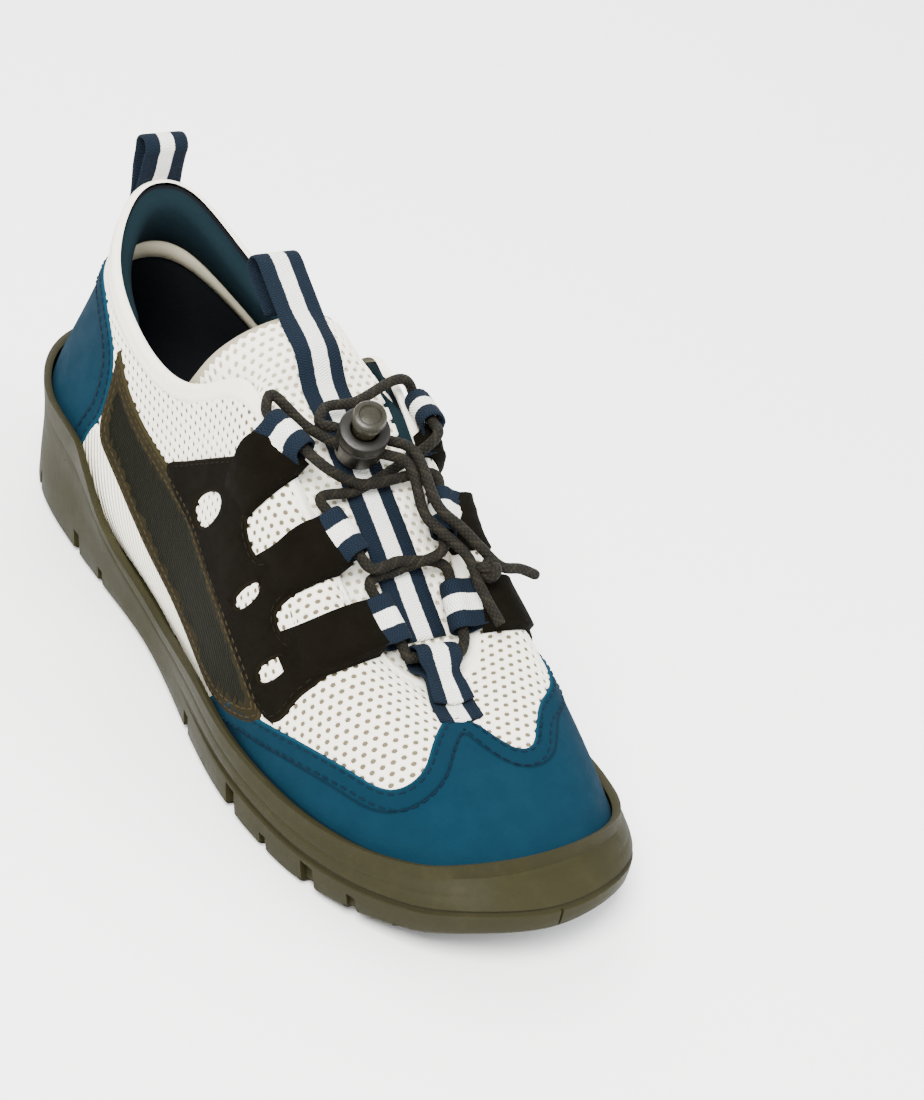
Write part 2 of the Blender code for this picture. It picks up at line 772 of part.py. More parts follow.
def outline_solid(name, loops, low, high, grow=0.0):
    """A flat solid with this outline and these holes, in stand-in sizes."""
    curve = bpy.data.curves.new(name, "CURVE")
    curve.dimensions = "2D"
    curve.fill_mode = "BOTH"
    curve.extrude = (high - low) / 2
    curve.offset = grow
    for loop in loops:
        line = curve.splines.new("POLY")
        line.points.add(len(loop) - 1)
        for point, (x, y) in zip(line.points, loop):
            point.co = (x * FLAT.x, y * FLAT.y, 0, 1)
        line.use_cyclic_u = True
    guide = bpy.data.objects.new(name, curve)
    CUTTERS.objects.link(guide)
    mesh = solid_mesh(guide)
    obj = mesh_object(name, [], [], None, CUTTERS)
    obj.data = mesh
    obj.location.z = (low + high) / 2
    bpy.data.objects.remove(guide)
    obj.hide_render = True
    obj.display_type = "WIRE"
    return obj


def solid_mesh(curve_object):
    """The closed mesh of a curve object, with its caps joined on."""
    bpy.context.view_layer.update()
    shape = curve_object.evaluated_get(bpy.context.evaluated_depsgraph_get())
    mesh = bpy.data.meshes.new_from_object(shape)
    body = bmesh.new()
    body.from_mesh(mesh)
    bmesh.ops.remove_doubles(body, verts=body.verts, dist=1e-6)
    bmesh.ops.recalc_face_normals(body, faces=body.faces)
    body.to_mesh(mesh)
    body.free()
    return mesh


def net_slab(name, loop, finish):
    """A flat slab around an outline, cut along the lines of the net that all pieces share."""
    step = np.array([2 / COLUMNS, 1 / ROWS])
    low = np.floor(loop.min(axis=0) / step).astype(int)
    high = np.ceil(loop.max(axis=0) / step).astype(int)
    wide, up = high - low + 1
    vertices = []
    for k in range(2):
        for i in range(wide):
            for j in range(up):
                x, y = (low + (i, j)) * step
                vertices.append((x * FLAT.x, y * FLAT.y, k * MM))
    layer = wide * up

    def at(i, j, k):
        return k * layer + i * up + j

    faces = []
    for i in range(wide - 1):
        for j in range(up - 1):
            cell = [(i, j), (i + 1, j), (i + 1, j + 1), (i, j + 1)]
            faces.append([at(*c, 1) for c in cell])
            faces.append([at(*c, 0) for c in reversed(cell)])
    edge_of = [(i, 0) for i in range(wide)] + [(wide - 1, j) for j in range(1, up)]
    edge_of += [(i, up - 1) for i in range(wide - 2, -1, -1)] + [(0, j) for j in range(up - 2, 0, -1)]
    for a, b in zip(edge_of, edge_of[1:] + edge_of[:1]):
        faces.append([at(*a, 0), at(*b, 0), at(*b, 1), at(*a, 1)])
    return mesh_object(name, vertices, faces, finish)


def overlay(name, loop, finish, holes=(), under=()):
    """A thin piece laid on the upper: an outline cut from a flat slab, which then takes the upper's form.
    What it lies under is cut away from it, with a gap."""
    panel = net_slab(name, loop, finish)
    boolean(panel, outline_solid(name + "_outline", [loop, *holes], -MM, 2 * MM), "INTERSECT")
    for k, other in enumerate(under):
        boolean(panel, outline_solid(f"{name}_under_{k}", [other], -MM, 2 * MM, grow=GAP), "DIFFERENCE")
    bake_modifiers(panel)
    body = bmesh.new()
    body.from_mesh(panel.data)
    bmesh.ops.remove_doubles(body, verts=body.verts, dist=0.02 * MM)
    bmesh.ops.dissolve_degenerate(body, edges=body.edges, dist=0.01 * MM)
    bmesh.ops.triangulate(body, faces=[f for f in body.faces if len(f.verts) > 4])
    for vertex in body.verts:
        around, up, side = vertex.co.x / FLAT.x, vertex.co.y / FLAT.y, vertex.co.z / MM
        vertex.co = FORM.at(around, up, GAP + side * OVERLAY)
    bmesh.ops.recalc_face_normals(body, faces=body.faces)
    body.to_mesh(panel.data)
    body.free()
    return smooth(panel, 30)


def make_overlays():
    cap_foot = [(around, OVERLAY_FOOT) for around in (1.30, 1.15, 1.0, 0.85, 0.70)]
    counter_foot = [(around, OVERLAY_FOOT) for around in (-0.2, 0.0, 0.2)]
    cap = soften(np.concatenate([border(CAP_EDGE), cap_foot]))
    mirrored = border(COUNTER_INNER)[1:] * (-1, 1)
    counter = soften(np.concatenate([border(COUNTER_OUTER)[::-1], mirrored, counter_foot]))
    band = soften(border(BAND_BACK + BAND_FRONT))
    arms_outer = soften(border(WEB_ARMS + WEB_FOOT_OUTER))
    arms_inner = soften(border(WEB_ARMS + WEB_FOOT_INNER, inner=True))
    counter_ahead = counter + (2, 0)
    overlay("toe_cap", cap, "suede")
    overlay("heel_counter", counter, "suede")
    overlay("side_band", band, "band", under=[cap, counter])
    holes = [soften(border(hole), 2) for hole in WEB_HOLES]
    overlay("eyestay_outer", arms_outer, "web", holes=holes, under=[cap, band])
    holes = [soften(border(hole, inner=True), 2) for hole in WEB_HOLES]
    overlay("eyestay_inner", arms_inner, "web", holes=holes, under=[cap, counter_ahead])


def tongue_net():
    """Rows of points across the tongue's upper side, from under the toe cap up to its top edge."""
    rows = []
    for column_number in TONGUE_COLUMNS:
        around = 2 * column_number / COLUMNS
        lift = -(UPPER_WALL + TONGUE_GAP)
        outer = FORM.at(np.full(3, around), TONGUE_SIDES, lift)
        inner = FORM.at(np.full(3, 2 - around), TONGUE_SIDES, lift)
        narrowing = np.interp(around, (0.53, 0.75), (TONGUE_TUCK, 0))
        for side in (outer, inner):
            side[:, 0] -= narrowing * (side[:, 0] - SWAY)
        left, right = outer[-1], inner[-1]
        crown = TONGUE_CROWN * min(1, np.linalg.norm(right - left) / (0.4 * BALL_WIDTH))
        share = np.array(TONGUE_MIDDLE)[:, None]
        middle = (left + right) / 2 + share * (right - left) / 2
        middle[:, 2] += crown * (1 - share[:, 0] ** 2)
        rows.append(np.concatenate([outer, middle, inner[::-1]]))
    turn = np.linspace(-math.pi / 2, math.pi / 2, len(rows[0]))
    for row in TONGUE_TOP:
        rise = np.cos(turn) ** 0.7
        x = SWAY + TONGUE_SHIFT * BALL_WIDTH * (1 - rise) + row.half * BALL_WIDTH * np.sin(turn)
        along = row.edge_along + rise * (row.middle_along - row.edge_along)
        height = row.edge_height + rise * (row.middle_height - row.edge_height)
        rows.append(np.column_stack([x, LENGTH * (0.5 - along), height * COLLAR_HEIGHT]))
    return np.array(rows)


def make_tongue():
    return sheet("tongue", tongue_net()[:, ::-1], "mesh", TONGUE_WALL, -1)


def across(row, centre, offsets, lift):
    """Points on one row of the tongue at these offsets from its middle, lifted off it."""
    order = slice(2, -2)
    x = row[order, 0]
    reach = centre + offsets
    points = np.column_stack([reach, np.interp(reach, x, row[order, 1]), np.interp(reach, x, row[order, 2])])
    return points + lift


def make_tongue_strap():
    """The webbing along the tongue's middle, folded into a standing loop past its top."""
    net = tongue_net()
    half = WEBBING_WIDTH / 2
    offsets = np.array([-half, 0, half])
    gap = TONGUE_GAP + WEBBING / 2
    rows = []
    for k in STRAP_ROWS:
        row, ahead = net[k], net[k + 1]
        run = ahead[5] - row[5]
        out = np.array([0, -run[2], run[1]]) / np.hypot(run[1], run[2])
        rows.append(across(row, SWAY, offsets, out * gap))
    top = net[-1]
    stand = np.array([0, math.cos(STRAP_RISE), math.sin(STRAP_RISE)])
    out = np.array([0, -stand[2], stand[1]])
    back = 2 * (gap + 2 * GAP) + TONGUE_WALL
    radius = back / 2
    base = across(top, SWAY, offsets, out * (gap + 2 * GAP))
    base[:, 1:] = base[:, 1:].mean(axis=0)
    rows.append(base)
    for share in (0.35, 0.7, 1.0):
        rows.append(base + stand * share * STRAP_STAND)
    centre = base + stand * STRAP_STAND - out * radius
    for degrees in (60, 30, 0, -30, -60):
        angle = math.radians(degrees)
        rows.append(centre + radius * (math.cos(angle) * stand + math.sin(angle) * out))
    for share in (1.0, 0.6, 0.2):
        rows.append(base + stand * share * STRAP_STAND - out * back)
    return sheet("tongue_strap", [r[::-1] for r in rows], "webbing", WEBBING, 0)


def shift_on_form(around, up, vector):
    """The change in (around, up) that moves a point on the form by a vector along its surface."""
    step = 0.01
    along = (FORM.at(around + step, up) - FORM.at(around - step, up)) / (2 * step)
    low, high = min(up, 1 - step) - step, min(up, 1 - step) + step
    upward = (FORM.at(around, high) - FORM.at(around, low)) / (2 * step)
    shift, *_ = np.linalg.lstsq(np.column_stack([along, upward]), vector, rcond=None)
    return shift


class Loop:
    """A webbing loop: sewn flat on the upper and folded round the cord beyond its edge."""

    def __init__(self, seat, inner=False, reach=LACE_LOOP_REACH, base_lift=LOOP_LIFT):
        turn = (lambda a: 2 - a) if inner else (lambda a: a)
        self.start = np.array([turn(seat.around), seat.up])
        self.edge = np.array([turn(seat.edge_around), 1.0])
        root, tip = FORM.at(*self.start), FORM.at(*self.edge)
        halfway = (self.start + self.edge) / 2
        out = (tip - root) / np.linalg.norm(tip - root)
        normal = (FORM.at(*halfway, MM) - FORM.at(*halfway)) / MM
        out += seat.rise * normal
        self.out = out / np.linalg.norm(out)
        normal -= self.out * normal.dot(self.out)
        self.normal = normal / np.linalg.norm(normal)
        self.width = np.cross(self.normal, self.out)
        self.base = base_lift + WEBBING / 2
        self.radius = (LOOP_BORE + WEBBING) / 2
        self.stack = self.base + WEBBING + GAP
        self.middle = (self.base + self.stack) / 2
        self.tip = tip
        self.reach = reach
        self.eye = Vector(tip + self.out * (reach + GAP) + self.normal * self.middle)

    def on_form(self, share, lift):
        at = self.start + share * (self.edge - self.start)
        half = WEBBING_WIDTH / 2
        shift = shift_on_form(at[0], at[1], self.width * half)
        return [FORM.at(at[0] + k * shift[0], min(1.0, at[1] + k * shift[1]), lift) for k in (-1, 0, 1)]

    def beyond(self, out, lift):
        half = WEBBING_WIDTH / 2
        middle = self.tip + self.out * out + self.normal * lift
        return [middle + self.width * half * k for k in (-1, 0, 1)]

    def build(self, name):
        rows = [self.on_form(share, self.base) for share in (0.0, 0.33, 0.65)]
        if self.reach > 2 * self.radius:
            rows.append(self.beyond(0.45 * self.reach, self.middle - 0.8 * self.radius))
        for degrees in (-120, -75, -30, 0, 30, 75, 120):
            angle = math.radians(degrees)
            out, lift = self.radius * math.cos(angle), self.radius * math.sin(angle)
            rows.append(self.beyond(self.reach + out, self.middle + lift))
        if self.reach > 2 * self.radius:
            rows.append(self.beyond(0.45 * self.reach, self.middle + 0.8 * self.radius))
        rows += [self.on_form(share, self.stack) for share in (0.65, 0.33, 0.0)]
        return sheet(name, rows, "webbing", WEBBING, 0, diagonal="SHORTEST_DIAGONAL")


def make_loops():
    loops = {}
    for side in ("outer", "inner"):
        for k, seat in enumerate(LACE_LOOPS, 1):
            loop = Loop(seat, inner=side == "inner")
            loop.build(f"lace_loop_{side}_{k}")
            loops[side, k] = loop
    loops["front"] = Loop(FRONT_LOOP)
    loops["front"].build("lace_loop_front")
    Loop(PULL_LOOP, reach=PULL_LOOP_REACH, base_lift=3 * GAP).build("heel_pull_loop")
    return loops


def smooth_path(points, spacing):
    """Evenly spaced points on a smooth curve through these."""
    p = np.array([tuple(v) for v in points])
    length = np.linalg.norm(np.diff(p, axis=0), axis=1)[:, None]
    slope = np.diff(p, axis=0) / length
    inner = (slope[:-1] * length[1:] + slope[1:] * length[:-1]) / (length[:-1] + length[1:])
    slope = np.vstack([slope[:1], inner, slope[-1:]])
    t = np.linspace(0, 1, 24, endpoint=False)[:, None]
    fine = []
    for k in range(len(p) - 1):
        bend = (t**3 - 2 * t**2 + t) * slope[k] + (t**3 - t**2) * slope[k + 1]
        step = t**2 * (3 - 2 * t)
        fine.append((1 - step) * p[k] + step * p[k + 1] + bend * length[k])
    fine = np.vstack([*fine, p[-1:]])
    run = np.concatenate([[0], np.cumsum(np.linalg.norm(np.diff(fine, axis=0), axis=1))])
    count = max(3, int(round(run[-1] / spacing)) + 1)
    even = np.linspace(0, run[-1], count)
    return np.column_stack([np.interp(even, run, fine[:, k]) for k in range(3)])


def tube(name, points, spacing=1.5 * CORD, width=CORD):
    curve = bpy.data.curves.new(name, "CURVE")
    curve.dimensions = "3D"
    curve.bevel_depth = width / 2
    curve.bevel_resolution = 2
    curve.use_fill_caps = True
    path = smooth_path(points, spacing)
    line = curve.splines.new("POLY")
    line.points.add(len(path) - 1)
    for point, place_at in zip(line.points, path):
        point.co = (*place_at, 1)
    guide = bpy.data.objects.new(name, curve)
    SHOE.objects.link(guide)
    mesh = solid_mesh(guide)
    bpy.data.objects.remove(guide)
    mesh.materials.clear()
    mesh.materials.append(MATERIALS["cord"])
    obj = bpy.data.objects.new(name, mesh)
    SHOE.objects.link(obj)
    return smooth(obj, 60)


def eye_end(loop, towards, lead=0.6 * CORD):
    """The middle of a loop's eye and its mouth on the side that faces towards a point."""
    way = Vector(loop.width)
    if way.dot(Vector(towards) - loop.eye) < 0:
        way = -way
    half = WEBBING_WIDTH / 2
    return [loop.eye + way * reach for reach in (2 * GAP, 0.5 * half, half, half + lead)]


def over_tongue(along, side):
    """The middle of a cord that lies on the tongue's webbing there."""
    line = tongue_net()[:, 5]
    y = LENGTH / 2 - along * LENGTH
    height = np.interp(y, line[:, 1], line[:, 2])
    slope = (np.interp(y + MM, line[:, 1], line[:, 2]) - height) / MM
    lift = (TONGUE_GAP + WEBBING + 3.5 * GAP + CORD / 2) * math.hypot(1, slope)
    return Vector((SWAY + side * BALL_WIDTH, y, height + lift))


def crossing_bar(name, start, middle, finish):
    first = eye_end(start, middle[0])
    last = eye_end(finish, middle[-1])
    return tube(name, [*first, *middle, *reversed(last)])


def make_lace(loops):
    for name, places, low, high in (("lower", LOWER_CROSSING, 3, 2), ("upper", UPPER_CROSSING, 2, 1)):
        middle = [over_tongue(*spot) for spot in places]
        bar = crossing_bar(f"lace_cross_{name}", loops["outer", low], middle, loops["inner", high])
        other = crossing_bar("other_bar", loops["inner", low], middle[:1], loops["outer", high])
        boolean(bar, as_cutter(other), "UNION")
        bake_modifiers(bar)
    front = loops["front"]
    ends = [eye_end(loops[side, 3], front.eye) for side in ("outer", "inner")]
    near, far = (eye_end(front, end[-1], lead=0.3 * CORD)[1:4] for end in ends)
    tube("lace_front", [*ends[0], *reversed(near), *far, *reversed(ends[1])])


def lock_frame():
    along = LOCK_HOLE - LOCK_AXIS * LOCK_HOLE.dot(LOCK_AXIS)
    along.normalize()
    return along, LOCK_AXIS.cross(along), LOCK_AXIS


def lock_base():
    return over_tongue(*LOCK_PLACE) + LOCK_AXIS * LOCK_LIFT


def turned_solid(name, width, low, high, bevel, finish, segments=18):
    """A round solid on the lock's axis between two heights above its base."""
    bpy.ops.mesh.primitive_cylinder_add(vertices=segments, radius=width / 2, depth=high - low)
    obj = bpy.context.object
    obj.name = name
    obj.rotation_mode = "QUATERNION"
    obj.rotation_quaternion = LOCK_AXIS.to_track_quat("Z", "Y")
    obj.location = lock_base() + LOCK_AXIS * (low + high) / 2
    for group in obj.users_collection:
        group.objects.unlink(obj)
    SHOE.objects.link(obj)
    obj.data.materials.append(MATERIALS[finish])
    if bevel:
        rounding = obj.modifiers.new("edge", "BEVEL")
        rounding.width = bevel
        rounding.segments = 2
    return smooth(obj)


def make_lock():
    """The cord lock: a round body with a slot for both cords, and a sprung button in a bore from above."""
    along, side, axis = lock_frame()
    base = lock_base()
    body = turned_solid("cord_lock_body", LOCK_WIDTH, 0, LOCK_HEIGHT, LOCK_EDGE, "lock")
    slot_middle = base + axis * (SLOT_LOW + SLOT_HIGH) / 2
    bpy.ops.mesh.primitive_cube_add(size=1)
    slot = bpy.context.object
    slot.name = "cord_slot"
    slot.matrix_world = matrix_of(np.array([along, side, axis]).T, slot_middle)
    slot.scale = (2 * LOCK_WIDTH, LOCK_SLOT, SLOT_HIGH - SLOT_LOW)
    boolean(body, as_cutter(slot), "DIFFERENCE")
    bore = turned_solid("button_bore", STEM_WIDTH + 2 * GAP, SLOT_HIGH - GAP, 2 * LOCK_HEIGHT, 0, "lock")
    boolean(body, as_cutter(bore), "DIFFERENCE")
    cap_low = LOCK_HEIGHT + BUTTON_TRAVEL + GAP
    cap_top = cap_low + BUTTON_CAP
    button = turned_solid("cord_lock_button", BUTTON_WIDTH, cap_low, cap_top, BUTTON_EDGE, "lock")
    stem_low = SLOT_HIGH + BUTTON_TRAVEL + GAP
    stem = turned_solid("button_stem", STEM_WIDTH, stem_low, cap_low + BUTTON_CAP / 2, 0, "lock")
    boolean(button, as_cutter(stem), "UNION")
    return slot_middle


def matrix_of(turn, spot):
    matrix = Matrix.Identity(4)
    for i in range(3):
        for j in range(3):
            matrix[i][j] = turn[i][j]
        matrix[i][3] = spot[i]
    return matrix


def make_cord_ends(loops, slot):
    """The cord from the top loops into the lock, and its two loose ends with their knot."""
    along, side, _ = lock_frame()
    back = slot + Vector((0, LOCK_WIDTH / 2, 0))
    for name, sign in (("outer", -1), ("inner", 1)):
        loop = loops[name, 1]
        lane = slot + side * sign * LANE
        mouth = lane - along * LOCK_WIDTH / 2
        start = eye_end(loop, loop.eye + Vector((0, LENGTH, 0)), lead=0.5 * CORD)
        if name == "outer":
            bend = [start[-1] + TOP_OUTER_START, mouth - along * TOP_OUTER_LEAD + TOP_OUTER_END]
        else:
            bend = [start[-1] + TOP_INNER_START, back + TOP_INNER_PAST]
            bend += [back + TOP_INNER_TURN, mouth - along * TOP_INNER_LEAD]
        tube(f"lace_top_{name}", [*start, *bend, mouth, lane - along * CORD_MEETING])
        route = [lane + along * reach for reach in TAIL_LEADS]
        tube(f"lace_tail_{name}", route + beside(TAIL_ROUTE, route[-1], sign * LANE))
    knot = make_knot()
    for name, points in (("a", CORD_END_A), ("b", CORD_END_B)):
        tube(f"lace_end_{name}", [knot + point * MM for point in points])


def beside(rows, before, shift):
    """The places of a route, moved sideways along the surface by shift."""
    middle = [Vector(FORM.at(row.around, row.up, row.lift)) for row in rows]
    normals = [spot - Vector(FORM.at(row.around, row.up)) for spot, row in zip(middle, rows)]
    moved = []
    for spot, ahead, normal in zip([before, *middle], [*middle], normals):
        way = (ahead - spot).cross(normal).normalized()
        moved.append(ahead - way * shift)
    return moved


def make_knot():
    middle = Vector(FORM.at(KNOT_PLACE.around, KNOT_PLACE.up, KNOT_PLACE.lift))
    bpy.ops.mesh.primitive_uv_sphere_add(segments=12, ring_count=8, radius=KNOT_WIDTH / 2, location=middle)
    knot = bpy.context.object
    knot.name = "lace_knot"
    knot.data.materials.append(MATERIALS["cord"])
    for group in knot.users_collection:
        group.objects.unlink(knot)
    SHOE.objects.link(knot)
    smooth(knot, 60)
    return middle


def main():
    make_outsole()
    make_insole()
    make_upper()
    make_overlays()
    make_tongue()
    make_tongue_strap()
    loops = make_loops()
    make_lace(loops)
    slot = make_lock()
    make_cord_ends(loops, slot)


main()
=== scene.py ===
"""The look of the water shoe: each CAD solid is replaced by a finer piece on the same form, with its fabric,
holes, seams and stitches. The form's functions and tables are those of the part's source.
"""

import math
from collections import namedtuple

import bmesh
import bpy
import numpy as np
from mathutils import Matrix, Vector
from mathutils.bvhtree import BVHTree
from mathutils.geometry import delaunay_2d_cdt


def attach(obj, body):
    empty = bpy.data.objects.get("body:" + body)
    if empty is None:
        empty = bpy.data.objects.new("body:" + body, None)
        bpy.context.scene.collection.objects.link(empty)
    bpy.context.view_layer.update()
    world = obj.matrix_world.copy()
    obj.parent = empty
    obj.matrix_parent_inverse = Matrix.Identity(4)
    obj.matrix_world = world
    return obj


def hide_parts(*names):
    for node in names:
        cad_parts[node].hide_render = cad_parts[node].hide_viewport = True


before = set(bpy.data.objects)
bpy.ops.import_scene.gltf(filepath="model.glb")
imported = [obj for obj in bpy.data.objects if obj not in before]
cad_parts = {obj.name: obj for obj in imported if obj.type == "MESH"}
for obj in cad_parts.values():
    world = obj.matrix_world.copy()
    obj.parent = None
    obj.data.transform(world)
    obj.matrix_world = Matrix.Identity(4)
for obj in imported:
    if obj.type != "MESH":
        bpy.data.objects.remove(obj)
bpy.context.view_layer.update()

MM = 0.001

# Sizes of the sole
LENGTH = 285 * MM
BALL_WIDTH = 102 * MM
HEEL_STACK = 17 * MM
TOE_SPRING = 13 * MM
RIM_HEIGHT = 43 * MM
RIM_WALL = 2.6 * MM
SIDE_WALL = 4.0 * MM
GROOVE_DEPTH = 1.2 * MM
EDGE_ROUND = 3.2 * MM

# Sizes of the upper
COLLAR_HEIGHT = 104 * MM
UPPER_WALL = 2.2 * MM
OVERLAY = 1.2 * MM
WEB_LIFT = 0.5 * MM
GAP = 0.3 * MM
HEEL_CURVE = 10 * MM
CUP_LIFT = OVERLAY + 3 * GAP
INSOLE = 3 * MM
INSOLE_GAP = 0.6 * MM

TONGUE_WALL = 2.6 * MM
TONGUE_CROWN = 1.5 * MM
TONGUE_GAP = 1.0 * MM

# Webbing, cord and cord lock
WEBBING_WIDTH = 15 * MM
WEBBING = 1.1 * MM
CORD = 3.2 * MM
LOOP_BORE = 5.9 * MM
LOOP_LIFT = OVERLAY + 2.3 * MM
LACE_LOOP_REACH = 5.2 * MM
PULL_LOOP_REACH = 13 * MM
STRAP_STAND = 18 * MM
STRAP_RISE = math.radians(31.5)
LOCK_WIDTH = 15 * MM
LOCK_HEIGHT = 13 * MM
BUTTON_WIDTH = 10 * MM
BUTTON_CAP = 4 * MM
STEM_WIDTH = 7.2 * MM
BUTTON_TRAVEL = 4.2 * MM
LANE = CORD / 2 + 2.5 * GAP
LOCK_SLOT = 2 * LANE + CORD + 3 * GAP
SLOT_LOW = 3.2 * MM
SLOT_HIGH = SLOT_LOW + CORD + 4 * GAP
LOCK_LIFT = 0.7 * MM

# The highest value of x * (1 - x)**3, at x = 1/4. It scales the wall's swell.
SWELL_PEAK = 27 / 256

# The net that every piece on the upper shares, so that their facets lie over one another
COLUMNS = 64
ROWS = 8

# The sole's outline: half widths as shares of BALL_WIDTH, along as a share of LENGTH from the heel
Outline = namedtuple("Outline", "along outer inner")
OUTLINE = (
    Outline(0.00, 0.000, 0.000),
    Outline(0.03, 0.220, 0.212),
    Outline(0.08, 0.322, 0.308),
    Outline(0.17, 0.384, 0.356),
    Outline(0.30, 0.398, 0.332),
    Outline(0.42, 0.412, 0.296),
    Outline(0.55, 0.470, 0.346),
    Outline(0.66, 0.518, 0.423),
    Outline(0.75, 0.515, 0.462),
    Outline(0.84, 0.466, 0.462),
    Outline(0.91, 0.386, 0.415),
    Outline(0.96, 0.284, 0.312),
    Outline(0.99, 0.146, 0.162),
    Outline(1.00, 0.000, 0.000),
)

# The sole's heights: tread as a share of TOE_SPRING, bed of HEEL_STACK, both rims of RIM_HEIGHT
Side = namedtuple("Side", "along tread bed outer_rim inner_rim")
SIDE = (
    Side(0.00, 0.55, 1.00, 1.00, 1.00),
    Side(0.04, 0.22, 1.00, 0.98, 0.93),
    Side(0.09, 0.04, 1.00, 0.94, 0.74),
    Side(0.13, 0.00, 0.98, 0.92, 0.62),
    Side(0.17, 0.00, 0.96, 0.92, 0.57),
    Side(0.21, 0.00, 0.94, 0.90, 0.56),
    Side(0.25, 0.00, 0.90, 0.78, 0.56),
    Side(0.31, 0.00, 0.86, 0.54, 0.54),
    Side(0.37, 0.04, 0.80, 0.41, 0.50),
    Side(0.44, 0.07, 0.72, 0.37, 0.47),
    Side(0.52, 0.04, 0.66, 0.44, 0.50),
    Side(0.58, 0.00, 0.62, 0.48, 0.49),
    Side(0.66, 0.00, 0.60, 0.46, 0.46),
    Side(0.78, 0.00, 0.60, 0.45, 0.45),
    Side(0.86, 0.18, 0.66, 0.47, 0.47),
    Side(0.93, 0.50, 0.85, 0.54, 0.54),
    Side(1.00, 1.00, 1.12, 0.64, 0.64),
)

# The edge of collar and throat: along as a share of LENGTH, half widths of BALL_WIDTH and height of
# COLLAR_HEIGHT. bulge is the wall's outward swell as a share of HEEL_CURVE, and round its arc's exponent.
Edge = namedtuple("Edge", "around along outer inner height bulge round")
EDGE = (
    Edge(0.00, 0.069, 0.000, 0.000, 1.000, 0.62, 0.92),
    Edge(0.10, 0.084, 0.119, 0.119, 0.966, 0.66, 0.92),
    Edge(0.20, 0.133, 0.223, 0.223, 0.853, 0.70, 0.95),
    Edge(0.30, 0.217, 0.273, 0.273, 0.765, 0.60, 1.05),
    Edge(0.38, 0.301, 0.280, 0.280, 0.733, 0.45, 1.15),
    Edge(0.44, 0.375, 0.268, 0.268, 0.796, 0.40, 1.20),
    Edge(0.48, 0.421, 0.242, 0.242, 0.888, 0.35, 1.30),
    Edge(0.53, 0.463, 0.223, 0.223, 0.903, 0.30, 1.45),
    Edge(0.60, 0.533, 0.209, 0.209, 0.800, 0.20, 1.50),
    Edge(0.70, 0.615, 0.196, 0.196, 0.664, 0.10, 1.50),
    Edge(0.80, 0.684, 0.171, 0.171, 0.537, 0.00, 1.50),
    Edge(0.90, 0.732, 0.113, 0.113, 0.468, 0.00, 1.50),
    Edge(1.00, 0.745, 0.000, 0.000, 0.433, 0.00, 1.50),
)


def column(table, name):
    return [getattr(row, name) for row in table]


def unit(vectors):
    """The vectors along the last axis, each made as long as 1."""
    return vectors / np.maximum(np.linalg.norm(vectors, axis=-1, keepdims=True), 1e-9)


def run_along(points):
    """How far along a line each of its points is."""
    return np.concatenate([[0], np.cumsum(np.linalg.norm(np.diff(points, axis=0), axis=1))])


def ease(share):
    """A step from 0 to 1 that is level at both ends."""
    return share**2 * (3 - 2 * share)


def spline(keys, values, parity):
    """A curve with no kinks through a table's rows. Beyond both ends the table is mirrored: parity 1 makes
    the curve level there, and parity -1 lets it run straight through zero."""
    keys, values = np.array(keys, float), np.array(values, float)
    span = keys[-1] - keys[0]
    x = np.concatenate([2 * keys[0] - keys[:0:-1], keys, 2 * keys[-1] - keys[-2::-1]])
    y = np.concatenate([parity * values[:0:-1], values, parity * values[-2::-1]])
    step = np.diff(x)
    system = np.eye(len(x))
    slopes = np.zeros(len(x))
    for i in range(1, len(x) - 1):
        system[i, i - 1 : i + 2] = step[i - 1], 2 * (step[i - 1] + step[i]), step[i]
        slopes[i] = 6 * ((y[i + 1] - y[i]) / step[i] - (y[i] - y[i - 1]) / step[i - 1])
    bend = np.linalg.solve(system, slopes)

    def at(q):
        q = np.clip(np.asarray(q, float), keys[0], keys[0] + span)
        i = np.clip(np.searchsorted(x, q) - 1, 0, len(x) - 2)
        h = step[i]
        left, right = (x[i + 1] - q) / h, (q - x[i]) / h
        cubic = (left**3 - left) * bend[i] + (right**3 - right) * bend[i + 1]
        return left * y[i] + right * y[i + 1] + cubic * h**2 / 6

    return at


def gentle(keys, values):
    """A curve through a table's rows that never passes beyond them, so that flat stretches stay flat."""
    x, y = np.array(keys, float), np.array(values, float)
    step = np.diff(x)
    rise = np.diff(y) / step
    slope = np.zeros_like(y)
    for i in range(1, len(x) - 1):
        if rise[i - 1] * rise[i] > 0:
            near, far = 2 * step[i] + step[i - 1], step[i] + 2 * step[i - 1]
            slope[i] = (near + far) / (near / rise[i - 1] + far / rise[i])

    def at(q):
        q = np.clip(np.asarray(q, float), x[0], x[-1])
        i = np.clip(np.searchsorted(x, q) - 1, 0, len(x) - 2)
        h = step[i]
        u = (q - x[i]) / h
        start = (1 + 2 * u) * (1 - u) ** 2 * y[i] + u * (1 - u) ** 2 * h * slope[i]
        end = ease(u) * y[i + 1] + u**2 * (u - 1) * h * slope[i + 1]
        return start + end

    return at


def from_heel(around):
    """0 at the heel's back and 1 at the toe's tip, on either side."""
    around = np.mod(np.asarray(around, float), 2.0)
    return np.where(around <= 1, around, 2 - around)


def is_inner(around):
    return np.mod(np.asarray(around, float), 2.0) > 1


def along_of(around):
    """The share of LENGTH where the sole's outline is at this `around`. Its cosine rounds heel and toe."""
    return (1 - np.cos(math.pi * from_heel(around))) / 2


def around_of(along):
    return np.arccos(1 - 2 * np.asarray(along, float)) / math.pi


OUTLINE_KEYS = around_of(column(OUTLINE, "along"))
OUTER_HALF = spline(OUTLINE_KEYS, column(OUTLINE, "outer"), -1)
INNER_HALF = spline(OUTLINE_KEYS, column(OUTLINE, "inner"), -1)
SAMPLES = np.linspace(0, 1, 201)
SWAY = (OUTER_HALF(SAMPLES).max() - INNER_HALF(SAMPLES).max()) * BALL_WIDTH / 2


